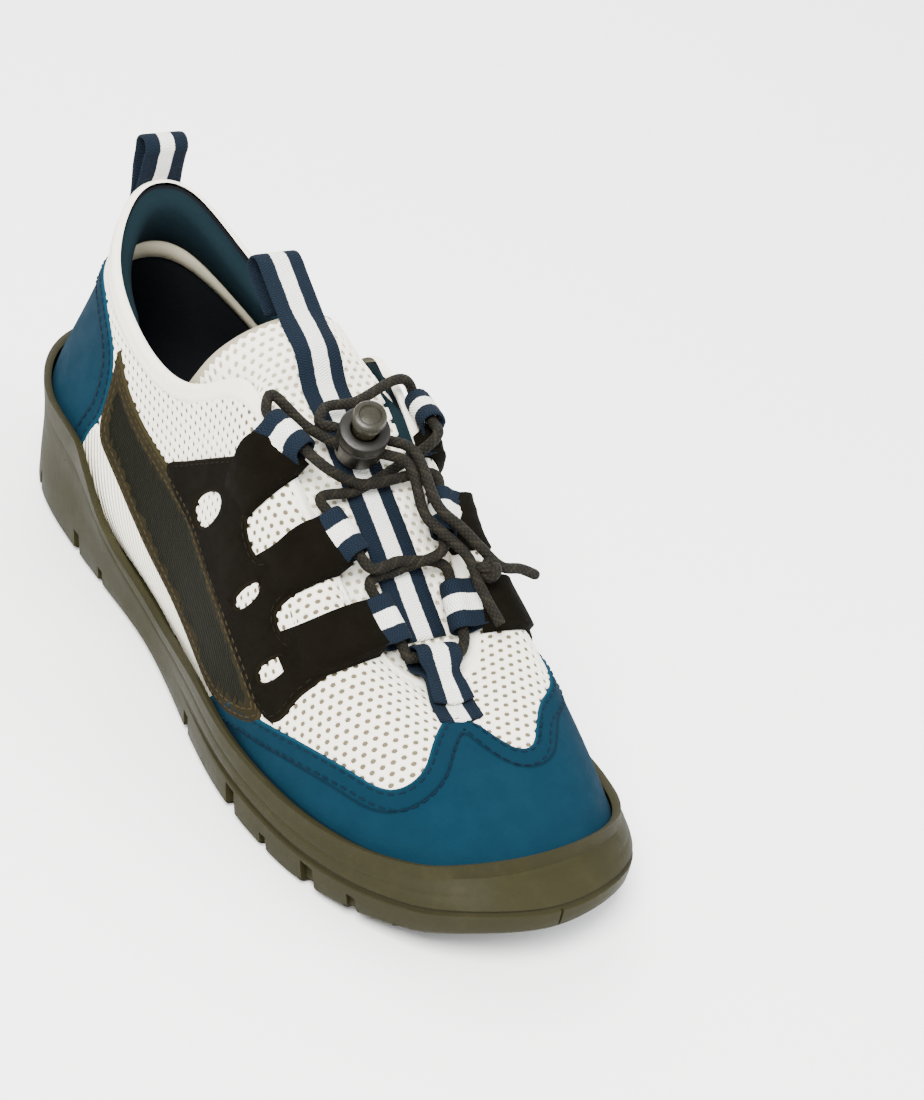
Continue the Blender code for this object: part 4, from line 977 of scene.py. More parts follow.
MATERIALS = {
    "rubber": rubber_material(),
    "mesh": knit_material("mesh", (252, 249, 238), (226, 220, 202)),
    # Painted shade: the upper wall's grey-brown stands in for the shade in the air mesh's holes over it.
    "backing_painted_hole_shade": knit_material("backing_painted_hole_shade", (112, 104, 84), (82, 74, 57)),
    # Partly painted shade: the tongue's base is greyish of its own, and is darkened further so that the air
    # mesh's holes over it look shaded.
    "tongue_base_painted_hole_shade": knit_material("tongue_base_painted_hole_shade", (178, 171, 150), (142, 134, 112)),
    "lining": knit_material("lining", (20, 23, 27), (8, 9, 12)),
    "collar_lining": knit_material("collar_lining", (16, 34, 40), (9, 21, 26), 0.35),
    "collar_tape": knit_material("collar_tape", (206, 201, 178), (158, 150, 128)),
    "suede": suede_material("suede", (14, 40, 54), (10, 32, 44), (20, 52, 68), hem=6.2),
    "web": suede_material("web", (13, 10, 5), (6, 5, 2), (22, 18, 10)),
    "band_edge": suede_material("band_edge", (38, 34, 21), (25, 22, 13), (50, 44, 28)),
    # The ribbed cloths' second colour is painted shade in the valleys between their ribs.
    "band_middle": rib_material("band_middle", (16, 17, 7), (8, 9, 3), 1.1, 0.0),
    "rib_strip": rib_material("rib_strip", (250, 246, 232), (200, 194, 172), 2.6, 0.9),
    "insole": knit_material("insole", (26, 26, 27), (9, 9, 10)),
    "webbing": webbing_material(),
    "cord": cord_material(),
    "lock": plastic_material("lock", (19, 17, 10), (12, 10, 6), 0.4),
    "button": plastic_material("button", (40, 38, 28), (27, 25, 17), 0.3),
    "thread_brown": knit_material("thread_brown", (54, 46, 29), (36, 30, 18), 0.8),
    "thread_black": knit_material("thread_black", (24, 21, 14), (11, 10, 6), 0.8),
    "thread_navy": knit_material("thread_navy", (7, 28, 42), (4, 16, 26), 0.8),
}


def piece(name, vertices, faces, finish, replaces=(), slot=None, uvs=None, body=BODY):
    """A named piece on the shoe, with its material and any layers of UVs, each in millimetres per vertex."""
    mesh = bpy.data.meshes.new(name)
    mesh.from_pydata([tuple(map(float, v)) for v in vertices], [], [tuple(map(int, f)) for f in faces])
    obj = bpy.data.objects.new(name, mesh)
    bpy.context.scene.collection.objects.link(obj)
    mesh.materials.append(MATERIALS[finish])
    for layer, values in (uvs or {}).items():
        put_uvs(mesh, layer, np.asarray(values, float))
    mesh.shade_smooth()
    return settle(obj, replaces, body)


def settle(obj, replaces=(), body=BODY):
    if replaces:
        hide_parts(*replaces)
    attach(obj, body)
    return obj


def put_uvs(mesh, layer, per_vertex):
    corners = np.empty(len(mesh.loops), int)
    mesh.loops.foreach_get("vertex_index", corners)
    uv = mesh.uv_layers.new(name=layer)
    uv.data.foreach_set("uv", per_vertex[corners].astype(np.float32).ravel())


def apply_modifiers(obj):
    shape = obj.evaluated_get(bpy.context.evaluated_depsgraph_get())
    mesh = bpy.data.meshes.new_from_object(shape)
    obj.modifiers.clear()
    obj.data = mesh
    return obj


def grid_faces(count, width, closed=False):
    i, j = np.meshgrid(np.arange(count if closed else count - 1), np.arange(width - 1), indexing="ij")
    k = (i + 1) % count
    corners = [i * width + j, k * width + j, k * width + j + 1, i * width + j + 1]
    return np.stack(corners, axis=-1).reshape(-1, 4)


def tube_faces(count, sides, closed=False):
    """Quads between rings of points, and a face over either end unless the tube closes on itself."""
    faces = []
    for i in range(count if closed else count - 1):
        k = (i + 1) % count
        for j in range(sides):
            n = (j + 1) % sides
            faces.append((i * sides + j, i * sides + n, k * sides + n, k * sides + j))
    if not closed:
        faces.append(tuple(range(sides))[::-1])
        faces.append(tuple((count - 1) * sides + j for j in range(sides)))
    return faces


def sheet(name, rows, finish, closed=False, **kept):
    """A piece through rows of as many points each."""
    rows = np.array(rows)
    return piece(name, rows.reshape(-1, 3), grid_faces(*rows.shape[:2], closed=closed), finish, **kept)


def thicken(obj, thickness, finish):
    """Gives a sheet its wall inwards, with this material on its back and its rim."""
    obj.data.materials.append(MATERIALS[finish])
    wall = obj.modifiers.new("wall", "SOLIDIFY")
    wall.thickness = thickness
    wall.offset = -1
    wall.material_offset = 1
    wall.material_offset_rim = 1


def unwrap(points, faces):
    """Flat places for a mesh's points, as a pattern maker would cut it, in metres."""
    mesh = bpy.data.meshes.new("chart")
    mesh.from_pydata([tuple(map(float, p)) for p in points], [], [tuple(map(int, f)) for f in faces])
    mesh.uv_layers.new(name="flat")
    obj = bpy.data.objects.new("chart", mesh)
    bpy.context.scene.collection.objects.link(obj)
    for other in bpy.context.selected_objects:
        other.select_set(False)
    obj.select_set(True)
    bpy.context.view_layer.objects.active = obj
    bpy.ops.object.mode_set(mode="EDIT")
    bpy.ops.mesh.select_all(action="SELECT")
    bpy.ops.uv.unwrap(method="ANGLE_BASED", margin=0.0)
    bpy.ops.object.mode_set(mode="OBJECT")
    corners = np.empty(len(mesh.loops), int)
    mesh.loops.foreach_get("vertex_index", corners)
    uv = np.empty(2 * len(mesh.loops), np.float32)
    mesh.uv_layers["flat"].data.foreach_get("uv", uv)
    flat = np.zeros((len(points), 2))
    flat[corners] = uv.reshape(-1, 2)
    bpy.data.objects.remove(obj)
    return flat


def triangle_areas(points, triangles):
    a, b, c = (points[triangles[:, k]] for k in range(3))
    if points.shape[1] == 2:
        return abs((b - a)[:, 0] * (c - a)[:, 1] - (b - a)[:, 1] * (c - a)[:, 0]) / 2
    return np.linalg.norm(np.cross(b - a, c - a), axis=1) / 2


class Chart:
    """A stretch of the form laid flat in metres, so that a pattern keeps its size all over it."""

    def __init__(self, start, end, low=0.0):
        around = np.linspace(start, end, int(round((end - start) * FINE_ROUND / 2)) + 1)
        up = np.linspace(low, 1, FINE_RISE)
        net = np.stack(np.meshgrid(around, up, indexing="ij"), axis=-1)
        self.places = net.reshape(-1, 2)
        points = FORM.at(self.places[:, 0], self.places[:, 1])
        quads = grid_faces(len(around), len(up))
        self.triangles = np.concatenate([quads[:, [0, 1, 2]], quads[:, [0, 2, 3]]])
        flat = unwrap(points, quads)
        share = triangle_areas(points, self.triangles).sum() / triangle_areas(flat, self.triangles).sum()
        flat = (flat - flat.mean(axis=0)) * math.sqrt(share)
        middle = (len(around) // 2) * len(up) + len(up) // 2
        ahead = flat[middle + 4 * len(up)] - flat[middle]
        turn = np.array([[ahead[0], ahead[1]], [-ahead[1], ahead[0]]]) / np.linalg.norm(ahead)
        self.flat = flat @ turn.T
        corners = [(x, y, 0.0) for x, y in self.flat.tolist()]
        self.tree = BVHTree.FromPolygons(corners, self.triangles.tolist())

    def find(self, spots):
        """The (around, up) of places on the chart, and which of them are on it."""
        found = np.zeros((len(spots), 2))
        on = np.zeros(len(spots), bool)
        for k, (x, y) in enumerate(spots):
            hit, _, index, _ = self.tree.ray_cast(Vector((x, y, 1)), Vector((0, 0, -1)))
            if hit is None:
                continue
            a, b, c = self.triangles[index]
            base = self.flat[a]
            frame_2d = np.column_stack([self.flat[b] - base, self.flat[c] - base])
            s, t = np.linalg.solve(frame_2d, (x - base[0], y - base[1]))
            found[k] = (1 - s - t) * self.places[a] + s * self.places[b] + t * self.places[c]
            on[k] = True
        return found, on


def on_form(places, lift=0.0):
    """Points on the form at places in (around, up), lifted off it by lift."""
    return FORM.at(places[:, 0], places[:, 1], lift)


def inside(loop, points):
    """Which points lie within a closed outline."""
    x, y = points[:, 0][:, None], points[:, 1][:, None]
    x0, y0 = loop[:, 0], loop[:, 1]
    x1, y1 = np.roll(x0, -1), np.roll(y0, -1)
    crosses = (y0 > y) != (y1 > y)
    rise = np.where(y1 == y0, 1, y1 - y0)
    return (crosses & (x < x0 + (y - y0) / rise * (x1 - x0))).sum(axis=1) % 2 == 1


def form_scale(points):
    """Metres on the surface for one unit of around and of up there."""
    step = 0.004
    a, u = points[:, 0], np.clip(points[:, 1], step, 1 - step)
    along = FORM.at(a + step, u) - FORM.at(a - step, u)
    rise = FORM.at(a, u + step) - FORM.at(a, u - step)
    return np.stack([np.linalg.norm(along, axis=1), np.linalg.norm(rise, axis=1)], axis=1) / (2 * step)


def even_loop(loop, spacing):
    """The closed outline with its points evenly spaced on the surface."""
    loop = np.vstack([loop, loop[:1]])
    places = FORM.at(loop[:, 0], loop[:, 1])
    run = run_along(places)
    count = max(8, int(run[-1] / spacing))
    even = np.linspace(0, run[-1], count, endpoint=False)
    loop = np.column_stack([np.interp(even, run, loop[:, k]) for k in (0, 1)])
    ahead = np.roll(loop, -1, axis=0)
    turned = (loop[:, 0] * ahead[:, 1] - ahead[:, 0] * loop[:, 1]).sum()
    return loop if turned > 0 else loop[::-1]


def inset(loop, distance):
    """The outline moved inwards by a distance on the surface."""
    scale = form_scale(loop)
    run = unit((np.roll(loop, -1, axis=0) - np.roll(loop, 1, axis=0)) * scale)
    inwards = np.column_stack([-run[:, 1], run[:, 0]])
    return loop + inwards * distance / scale


def border_distance(points, edge):
    """How far each point is from an outline in space."""
    best = np.full(len(points), np.inf)
    for start in range(0, len(points), 2000):
        part = points[start : start + 2000]
        away = np.linalg.norm(part[:, None] - edge[None], axis=2)
        best[start : start + 2000] = away.min(axis=1)
    return best


def round_edge(distance, radius=0.8 * MM, low=0.35):
    inward = np.clip(distance / radius, 0, 1)
    return low + (1 - low) * np.sqrt(1 - (1 - inward) ** 2)


def within(loops, points):
    """Which points lie inside the first outline and outside the others, its holes."""
    on = inside(loops[0], points)
    for hole in loops[1:]:
        on &= ~inside(hole, points)
    return on


# A laid piece's points: the spacing along its border, the two rings within it, and how far its net keeps off
BORDER_STEP = 1.1 * MM
BORDER_RINGS = (0.4 * MM, 1.1 * MM)
NET_CLEARANCE = 1.9 * MM


def filling_of(loops, edge, grain):
    """Points within an outline: a net of this grain, and two rings close to the border."""
    whole = loops[0]
    cell = grain / np.median(form_scale(whole), axis=0)
    low, high = whole.min(axis=0), whole.max(axis=0)
    x, y = (np.arange(low[k] + cell[k] / 2, high[k], cell[k]) for k in (0, 1))
    filling = np.stack(np.meshgrid(x, y, indexing="ij"), axis=-1).reshape(-1, 2)
    filling = filling[border_distance(on_form(filling), edge) > NET_CLEARANCE]
    for deep in BORDER_RINGS:
        for k, one in enumerate(loops):
            ring = inset(one, deep if k == 0 else -deep)
            away = border_distance(on_form(ring), edge)
            filling = np.vstack([filling, ring[away > 0.85 * deep]])
    return filling[within(loops, filling)]


def lay(name, loop, finish, holes=(), lift=GAP, thick=OVERLAY, shape=round_edge, grain=2.6 * MM, **kept):
    """A thin piece on the form with a rounded edge all round, from its outline in (around, up)."""
    loops = [even_loop(np.asarray(one, float), BORDER_STEP) for one in (loop, *holes)]
    edge = np.concatenate([on_form(one) for one in loops])
    points = np.vstack([*loops, filling_of(loops, edge, grain)])
    edges, start = [], 0
    for one in loops:
        edges += [(start + k, start + (k + 1) % len(one)) for k in range(len(one))]
        start += len(one)
    flat = [Vector((p[0] * FLAT.x / MM, p[1] * FLAT.y / MM)) for p in points]
    corners, _, triangles, *_ = delaunay_2d_cdt(flat, edges, [], 0, 1e-5)
    corners = np.array([tuple(c) for c in corners]) * MM / (FLAT.x, FLAT.y)
    triangles = np.array(triangles)
    triangles = triangles[within(loops, corners[triangles].mean(axis=1))]
    return slab(name, corners, triangles, finish, edge, lift, thick, shape, **kept)


# Where a laid piece's skirt ends, under the form's surface
SKIRT_LIFT = -0.4 * MM


def slab(name, places, triangles, finish, edge, lift, thick, shape, **kept):
    """The triangles laid on the form, with a skirt down from their border."""
    away = border_distance(on_form(places), edge)
    top = on_form(places, lift + thick * shape(away))
    sides = np.concatenate([triangles[:, [0, 1]], triangles[:, [1, 2]], triangles[:, [2, 0]]])
    keys = np.sort(sides, axis=1)
    _, index, counts = np.unique(keys, axis=0, return_index=True, return_counts=True)
    rim_edges = sides[index[counts == 1]]
    rim_points, inverse = np.unique(rim_edges, return_inverse=True)
    inverse = inverse.reshape(rim_edges.shape)
    foot = on_form(places[rim_points], SKIRT_LIFT)
    base = len(top)
    skirt = [(b, a, base + i, base + j) for (a, b), (i, j) in zip(rim_edges, inverse)]
    scale = form_scale(places)
    weave = np.column_stack([places[:, 0] * np.median(scale[:, 0]), places[:, 1] * scale[:, 1]]) / MM
    border = np.column_stack([away / MM, np.zeros(len(away))])
    uvs = {"weave": np.vstack([weave, weave[rim_points]]), "border": np.vstack([border, border[rim_points]])}
    faces = [tuple(t) for t in triangles] + skirt
    return piece(name, np.vstack([top, foot]), faces, finish, uvs=uvs, **kept)


# One stitch: shares of its length where its rings stand, their drop and their half width
STITCH_SHARES = np.array([-0.5, -0.32, 0.32, 0.5])
STITCH_DROPS = np.array([-0.35, 0.1, 0.1, -0.35])
STITCH_SIZES = np.array([0.35, 0.5, 0.5, 0.35])
STITCH_SIDES = 6
STITCH_LENGTH = 2.3 * MM
STITCH_PITCH = 3.1 * MM


def stitch_points(spots, width, lift):
    """The rings of one stitch round its places in (around, up)."""
    turn = 2 * math.pi * np.arange(STITCH_SIDES) / STITCH_SIDES
    centre = on_form(spots, lift + GAP + STITCH_DROPS * width)
    normal = unit(on_form(spots, MM) - on_form(spots))
    side = unit(np.cross(normal, np.tile(centre[-1] - centre[0], (len(spots), 1))))
    ring = side[:, None] * np.cos(turn)[:, None] + normal[:, None] * np.sin(turn)[:, None]
    return (centre[:, None] + ring * STITCH_SIZES[:, None, None] * width).reshape(-1, 3)


def stitches(name, lines, finish, width=0.55 * MM, lift=OVERLAY):
    """Sewing thread along lines of (around, up): a short bent bar for each stitch."""
    bar = tube_faces(len(STITCH_SHARES), STITCH_SIDES)
    vertices, faces = [], []
    for line in lines:
        run = run_along(on_form(line))
        for middle in np.arange(STITCH_PITCH / 2, run[-1] - STITCH_PITCH / 2, STITCH_PITCH):
            along = np.clip(middle + STITCH_SHARES * STITCH_LENGTH, 0, run[-1])
            spots = np.column_stack([np.interp(along, run, line[:, k]) for k in (0, 1)])
            faces.extend(tuple(len(vertices) + corner for corner in face) for face in bar)
            vertices.extend(stitch_points(spots, width, lift))
    return piece(name, vertices, faces, finish)


def part_of(loop, start, end):
    """The points of a closed outline from the one nearest start to the one nearest end, in its own order."""
    first = int(np.abs((loop - start) * (5, 1)).sum(axis=1).argmin())
    last = int(np.abs((loop - end) * (5, 1)).sum(axis=1).argmin())
    if last < first:
        last += len(loop)
    return loop[np.arange(first, last + 1) % len(loop)]


def sewn_line(loop, distance, start, end):
    """A line of stitches that follows an outline at a distance within it."""
    return part_of(inset(even_loop(loop, SEAM_STEP), distance), np.array(start), np.array(end))


def covered(places, outlines, holes=()):
    """Which places lie well under one of the outlines, and not near one of the holes."""
    hidden = np.zeros(len(places), bool)
    around = np.array([[0, 0], [1, 0], [-1, 0], [0, 1], [0, -1]])
    reach = MESH_MARGIN / form_scale(places)
    for loop in outlines:
        whole = np.ones(len(places), bool)
        for shift in around:
            whole &= inside(loop, places + shift * reach)
        hidden |= whole
    for hole in holes:
        for shift in around:
            hidden &= ~inside(hole, places + shift * reach)
    return hidden


def hole_centres(chart):
    """The staggered pattern's hole middles over a chart's box."""
    low, high = chart.flat.min(axis=0), chart.flat.max(axis=0)
    rows = np.arange(math.floor(low[1] / HOLE_ROWS), math.ceil(high[1] / HOLE_ROWS) + 1)
    columns = np.arange(math.floor(low[0] / HOLE_PITCH) - 1, math.ceil(high[0] / HOLE_PITCH) + 1)
    r, c = (v.ravel() for v in np.meshgrid(rows, columns, indexing="ij"))
    return np.column_stack([(c + 0.5 * (r % 2)) * HOLE_PITCH, r * HOLE_ROWS])


def cell_rings():
    """The rings of one cell from its hexagonal border into its hole, and each ring's height as a share."""
    x, y = HOLE_PITCH / 2, HOLE_ROWS / 3
    corner = np.array([(x, y), (0, 2 * y), (-x, y), (-x, -y), (0, -2 * y), (x, -y)])
    turn = np.radians(30 + 60 * np.arange(HOLE_CORNERS))
    hole = np.column_stack([np.cos(turn) * HOLE_HALF[0], np.sin(turn) * HOLE_HALF[1]])
    rings = np.array([corner, 0.4 * corner + 0.6 * hole, hole, 0.92 * hole])
    return rings, np.array([1.0, 0.95, 0.55, -0.1])


def air_mesh(name, chart, wanted, outlines=(), holes=(), surface=on_form):
    """The knit's open net: a ring round each hole of a staggered pattern, raised where the strands run."""
    centres = hole_centres(chart)
    places, on = chart.find(centres)
    on &= wanted(places)
    if outlines:
        on[on] &= ~covered(places[on], outlines, holes)
    centres = centres[on]
    rings, heights = cell_rings()
    spots = centres[:, None, None] + rings
    unique, inverse = np.unique(np.round(spots.reshape(-1, 2), 7), axis=0, return_inverse=True)
    index = inverse.reshape(spots.shape[:3])
    lift = np.zeros(len(unique))
    lift[index] = heights[:, None]
    found, good = chart.find(unique)
    points = surface(found, MESH_LIFT + lift * STRAND)
    index = index[good[index].all(axis=(1, 2))]
    ahead = np.roll(index, -1, axis=2)
    quads = np.stack([index[:, :-1], ahead[:, :-1], ahead[:, 1:], index[:, 1:]], axis=-1).reshape(-1, 4)
    used, packed = np.unique(quads, return_inverse=True)
    return piece(name, points[used], packed.reshape(quads.shape), "mesh")


class NetChart:
    """A net of points laid flat: across from its middle column, along by the run of that column."""

    def __init__(self, net):
        self.net = net
        middle = net.shape[1] // 2
        away = np.linalg.norm(np.diff(net, axis=1), axis=2)
        across = np.concatenate([np.zeros((len(net), 1)), np.cumsum(away, axis=1)], axis=1)
        self.across = across - across[:, middle : middle + 1]
        self.along = run_along(net[:, middle])
        self.flat = np.array([(self.across.min(), 0), (self.across.max(), self.along[-1])])
        normal = unit(np.cross(np.gradient(net, axis=1), np.gradient(net, axis=0)))
        self.normal = normal * np.sign(normal[..., 2].mean())

    def find(self, spots):
        """The (row, column) of places on the chart, and which of them are on it."""
        found = np.zeros((len(spots), 2))
        on = np.zeros(len(spots), bool)
        numbers = np.arange(len(self.net))
        columns = np.arange(self.net.shape[1])
        for k, (x, y) in enumerate(spots):
            row = np.interp(y, self.along, numbers)
            i = min(int(row), len(self.net) - 2)
            line = (1 - row + i) * self.across[i] + (row - i) * self.across[i + 1]
            found[k] = row, np.interp(x, line, columns)
            on[k] = 0 < y < self.along[-1] and line[0] < x < line[-1]
        return found, on

    def surface(self, found, lift):
        i, j = (np.clip(found[:, k].astype(int), 0, self.net.shape[k] - 2) for k in (0, 1))
        s, t = (found[:, 0] - i)[:, None], (found[:, 1] - j)[:, None]
        points = 0
        for di, row_share in ((0, 1 - s), (1, s)):
            for dj, column_share in ((0, 1 - t), (1, t)):
                corner = self.net[i + di, j + dj] + self.normal[i + di, j + dj] * np.reshape(lift, (-1, 1))
                points = points + row_share * column_share * corner
        return points


# Across a tape: shares of its half width, and its thickness there as a share of WEBBING
TAPE_SHARES = np.array([-1, -0.97, -0.85, -0.55, 0, 0.55, 0.85, 0.97, 1])
TAPE_EDGE = np.array([0.25, 0.7, 1, 1, 1, 1, 1, 0.7, 0.25])


def woven(name, rows, replaces, spacing=1.2 * MM):
    """Tape through rows of three points each across its width, with rounded edges."""
    lines = smooth_rows(np.asarray(rows, float), spacing)
    left, middle, right = lines[:, 0], lines[:, 1], lines[:, 2]
    s = TAPE_SHARES[:, None]
    curve = left[:, None] * s * (s - 1) / 2 + middle[:, None] * (1 - s**2) + right[:, None] * s * (s + 1) / 2
    forward = np.gradient(curve, axis=0)
    sideways = np.gradient(curve, axis=1)
    half_thick = unit(np.cross(sideways, forward)) * (TAPE_EDGE[:, None] * WEBBING / 2)
    section = np.concatenate([curve + half_thick, (curve - half_thick)[:, ::-1]], axis=1)
    half = np.linalg.norm(right - left, axis=1).mean() / 2 / MM
    across_mm = np.concatenate([TAPE_SHARES, TAPE_SHARES[::-1]]) * half
    run = run_along(middle)[:, None] / MM
    uv = np.stack(np.broadcast_arrays(across_mm[None, :], run), axis=-1).reshape(-1, 2)
    faces = tube_faces(*section.shape[:2])
    return piece(name, section.reshape(-1, 3), faces, "webbing", replaces=(replaces,), uvs={"weave": uv})


def smooth_rows(rows, spacing):
    """Rows of points, made evenly close on smooth curves through the rows."""
    key = run_along(rows[:, rows.shape[1] // 2])
    length = np.diff(key)
    slope = np.diff(rows, axis=0) / length[:, None, None]
    near, far = length[:-1, None, None], length[1:, None, None]
    inner = (slope[:-1] * far + slope[1:] * near) / (near + far)
    slope = np.concatenate([slope[:1], inner, slope[-1:]])
    even = np.linspace(0, key[-1], max(3, int(round(key[-1] / spacing)) + 1))
    k = np.clip(np.searchsorted(key, even, side="right") - 1, 0, len(length) - 1)
    t = ((even - key[k]) / length[k])[:, None, None]
    h = length[k][:, None, None]
    start = (1 + 2 * t) * (1 - t) ** 2 * rows[k] + t * (1 - t) ** 2 * h * slope[k]
    end = ease(t) * rows[k + 1] + t**2 * (t - 1) * h * slope[k + 1]
    return start + end


CORD_SIDES = 14
CORD_STEP = 0.9 * MM
CORD_TAPER = 0.82


def cord_piece(name, points, replaces=(), closed=False):
    """A round braided cord along a smooth curve. Returns the piece and the points that it follows."""
    path = np.array(points) if closed else smooth_path(points, CORD_STEP)
    if closed:
        forward = unit(np.roll(path, -1, axis=0) - np.roll(path, 1, axis=0))
    else:
        forward = unit(np.gradient(path, axis=0))
    side = np.cross(forward[0], (0, 0, 1.0))
    frames = []
    for way in forward:
        side = unit(side - way * side.dot(way))
        frames.append((side, np.cross(way, side)))
    frames = np.array(frames)
    turn = 2 * math.pi * np.arange(CORD_SIDES) / CORD_SIDES
    ring = frames[:, :1] * np.cos(turn)[:, None] + frames[:, 1:] * np.sin(turn)[:, None]
    size = np.full(len(path), CORD / 2)
    if not closed:
        size[[0, -1]] *= CORD_TAPER
    vertices = (path[:, None] + ring * size[:, None, None]).reshape(-1, 3)
    faces = tube_faces(len(path), CORD_SIDES, closed)
    obj = piece(name, vertices, faces, "cord", replaces=replaces)
    cord_uvs(obj.data, run_along(path) / MM)
    return obj, path


def cord_uvs(mesh, run):
    """Each face's share of the way round and its run along the cord, with no jump where the round closes."""
    uv = mesh.uv_layers.new(name="weave")
    for face in mesh.polygons:
        rows = [mesh.loops[k].vertex_index // CORD_SIDES for k in face.loop_indices]
        spots = [mesh.loops[k].vertex_index % CORD_SIDES for k in face.loop_indices]
        closes_round = max(spots) - min(spots) > CORD_SIDES / 2
        closes_run = max(rows) - min(rows) > len(run) / 2
        for k, row, spot in zip(face.loop_indices, rows, spots):
            share = spot + CORD_SIDES if closes_round and spot == 0 else spot
            length = run[-1] + run[1] if closes_run and row == 0 else run[row]
            uv.data[k].uv = (share / CORD_SIDES, length)


# The angle past which a lofted piece's edge is sharp
LOFT_SHARP = math.radians(38)


def fine_ring(count):
    return 2 * np.arange(count) / count


def loft(name, sections, finish, replaces=(), **kept):
    """A closed solid from one open section per place round the shoe. Both ends are closed across it."""
    sections = np.asarray(sections)
    count, width = sections.shape[:2]
    faces = [tuple(f) for f in grid_faces(count, width, closed=True)]
    for end in (0, width - 1):
        faces.append((end, width + end, (count - 1) * width + end))
        for i in range(1, count // 2 - 1):
            faces.append(tuple(k * width + end for k in (i, i + 1, count - i - 1, count - i)))
        toe = count // 2
        faces.append(tuple(k * width + end for k in (toe - 1, toe, toe + 1)))
    obj = piece(name, sections.reshape(-1, 3), faces, finish, replaces=replaces, **kept)
    body = bmesh.new()
    body.from_mesh(obj.data)
    bmesh.ops.recalc_face_normals(body, faces=body.faces)
    body.to_mesh(obj.data)
    body.free()
    obj.data.shade_smooth()
    obj.data.set_sharp_from_angle(angle=LOFT_SHARP)
    return obj


# The sole's side from the rim down to the tread: the share of its height, and how deep it is set in
SIDE_PROFILE = (
    (0.96, 0.0), (0.90, 0.0), (0.83, 0.0), (0.80, 0.15), (0.775, 0.5), (0.75, 0.15), (0.72, 0.0),
    (0.66, 0.0), (0.610, 0.0), (0.595, 0.2), (0.585, 0.85), (0.545, 1.0), (0.505, 0.85), (0.495, 0.2),
    (0.48, 0.0), (0.40, 0.0), (0.30, 0.0),
)
LIP_SHARES = (0.1, 0.33, 0.66, 0.9, 1.0)
LIP_CROWN = 0.45 * MM
SEAM_DEPTH = 0.6 * MM
TREAD_EDGE_TURNS = (20, 45, 70, 90)

# The side's grooves begin past the middle, over this share of the way round. Above half its height the side
# leans out to the rim.
GROOVE_FROM = 0.5
GROOVE_FADE = 0.15
LEAN_FROM = 0.5
LEAN_POWER = 1.6


def sole_section(around):
    """The cup's section: bed, inner wall, rounded rim, side with its grooves, and rounded tread edge."""
    tread, bed, top = float(TREAD(around)), float(BED(around)), float(rim(around))
    lip = FORM.up_at_height([around], [top])[0]
    points = [np.append(outline(around, SIDE_WALL), bed)]
    for share in LIP_SHARES:
        points.append(FORM.at(around, lip * share, CUP_LIFT))
    edge = FORM.at(around, lip, CUP_LIFT + RIM_WALL)
    crown = FORM.at(around, lip, CUP_LIFT + RIM_WALL / 2) + (0, 0, LIP_CROWN)
    points += [crown, edge]
    fade = float(np.clip((from_heel(around) - GROOVE_FROM) / GROOVE_FADE, 0, 1))
    groove = GROOVE_DEPTH * ease(fade)
    for height, depth in SIDE_PROFILE:
        side = outline(around, depth * (groove if height < 0.7 else SEAM_DEPTH))
        lean = np.clip((height - LEAN_FROM) / (1 - LEAN_FROM), 0, 1) ** LEAN_POWER
        plan = side + lean * (edge[:2] - outline(around, 0.0))
        points.append(np.append(plan, tread + height * (top - tread)))
    for angle in TREAD_EDGE_TURNS:
        turn = math.radians(angle)
        inward, rise = EDGE_ROUND * (1 - math.cos(turn)), EDGE_ROUND * (1 - math.sin(turn))
        points.append(np.append(outline(around, inward), tread + rise))
    return points


def block(low, high):
    """The corners and sides of a box between two of its corners."""
    x0, y0, z0 = low
    x1, y1, z1 = high
    corners = [(x, y, z) for x in (x0, x1) for y in (y0, y1) for z in (z0, z1)]
    faces = [(0, 1, 3, 2), (4, 6, 7, 5), (0, 4, 5, 1), (2, 3, 7, 6), (0, 2, 6, 4), (1, 5, 7, 3)]
    return corners, faces


# Notches in the side of the sole: along as a share of LENGTH, width, height and depth inwards
Notch = namedtuple("Notch", "along width height depth")
SIDE_NOTCHES = (
    Notch(0.105, 3.0 * MM, 7.0 * MM, 2.0 * MM),
    Notch(0.235, 4.0 * MM, 8.0 * MM, 2.4 * MM),
    Notch(0.300, 3.0 * MM, 6.0 * MM, 1.8 * MM),
    Notch(0.565, 4.0 * MM, 7.0 * MM, 2.4 * MM),
    Notch(0.690, 5.0 * MM, 8.5 * MM, 2.6 * MM),
    Notch(0.755, 3.0 * MM, 5.5 * MM, 1.8 * MM),
    Notch(0.820, 5.0 * MM, 8.0 * MM, 2.6 * MM),
    Notch(0.875, 3.0 * MM, 6.0 * MM, 1.8 * MM),
)
NOTCH_SLANT = 0.35
TOE_SEAM = 0.8 * MM

# A height below the lowest point of the sole, where its cutters begin
BELOW = -5 * MM


def sole_cutters():
    """Meshes of boxes for the grooves across the tread, the notches in its sides and the toe's seam."""
    grooves, notches = [], []
    for lug in LUGS:
        y = LENGTH / 2 - lug.along * LENGTH
        top = float(TREAD(around_of(lug.along))) + lug.depth
        grooves.append(block((-WIDE, y - lug.width / 2, BELOW), (WIDE, y + lug.width / 2, top)))
    for notch in SIDE_NOTCHES:
        for around in (around_of(notch.along), 2 - around_of(notch.along)):
            notches.append(notch_box(around, notch))
    half = TOE_SEAM / 2
    seam = block((SWAY - half, -WIDE, BELOW), (SWAY + half, TOE_SEAM - LENGTH / 2, RIM_HEIGHT / 2))
    return [boxes_mesh("grooves", grooves), boxes_mesh("notches", notches), boxes_mesh("seam", [seam])]


def boxes_mesh(name, boxes):
    vertices, faces = [], []
    for corners, sides in boxes:
        faces += [tuple(len(vertices) + k for k in side) for side in sides]
        vertices += corners
    mesh = bpy.data.meshes.new(name)
    mesh.from_pydata(vertices, [], faces)
    return mesh


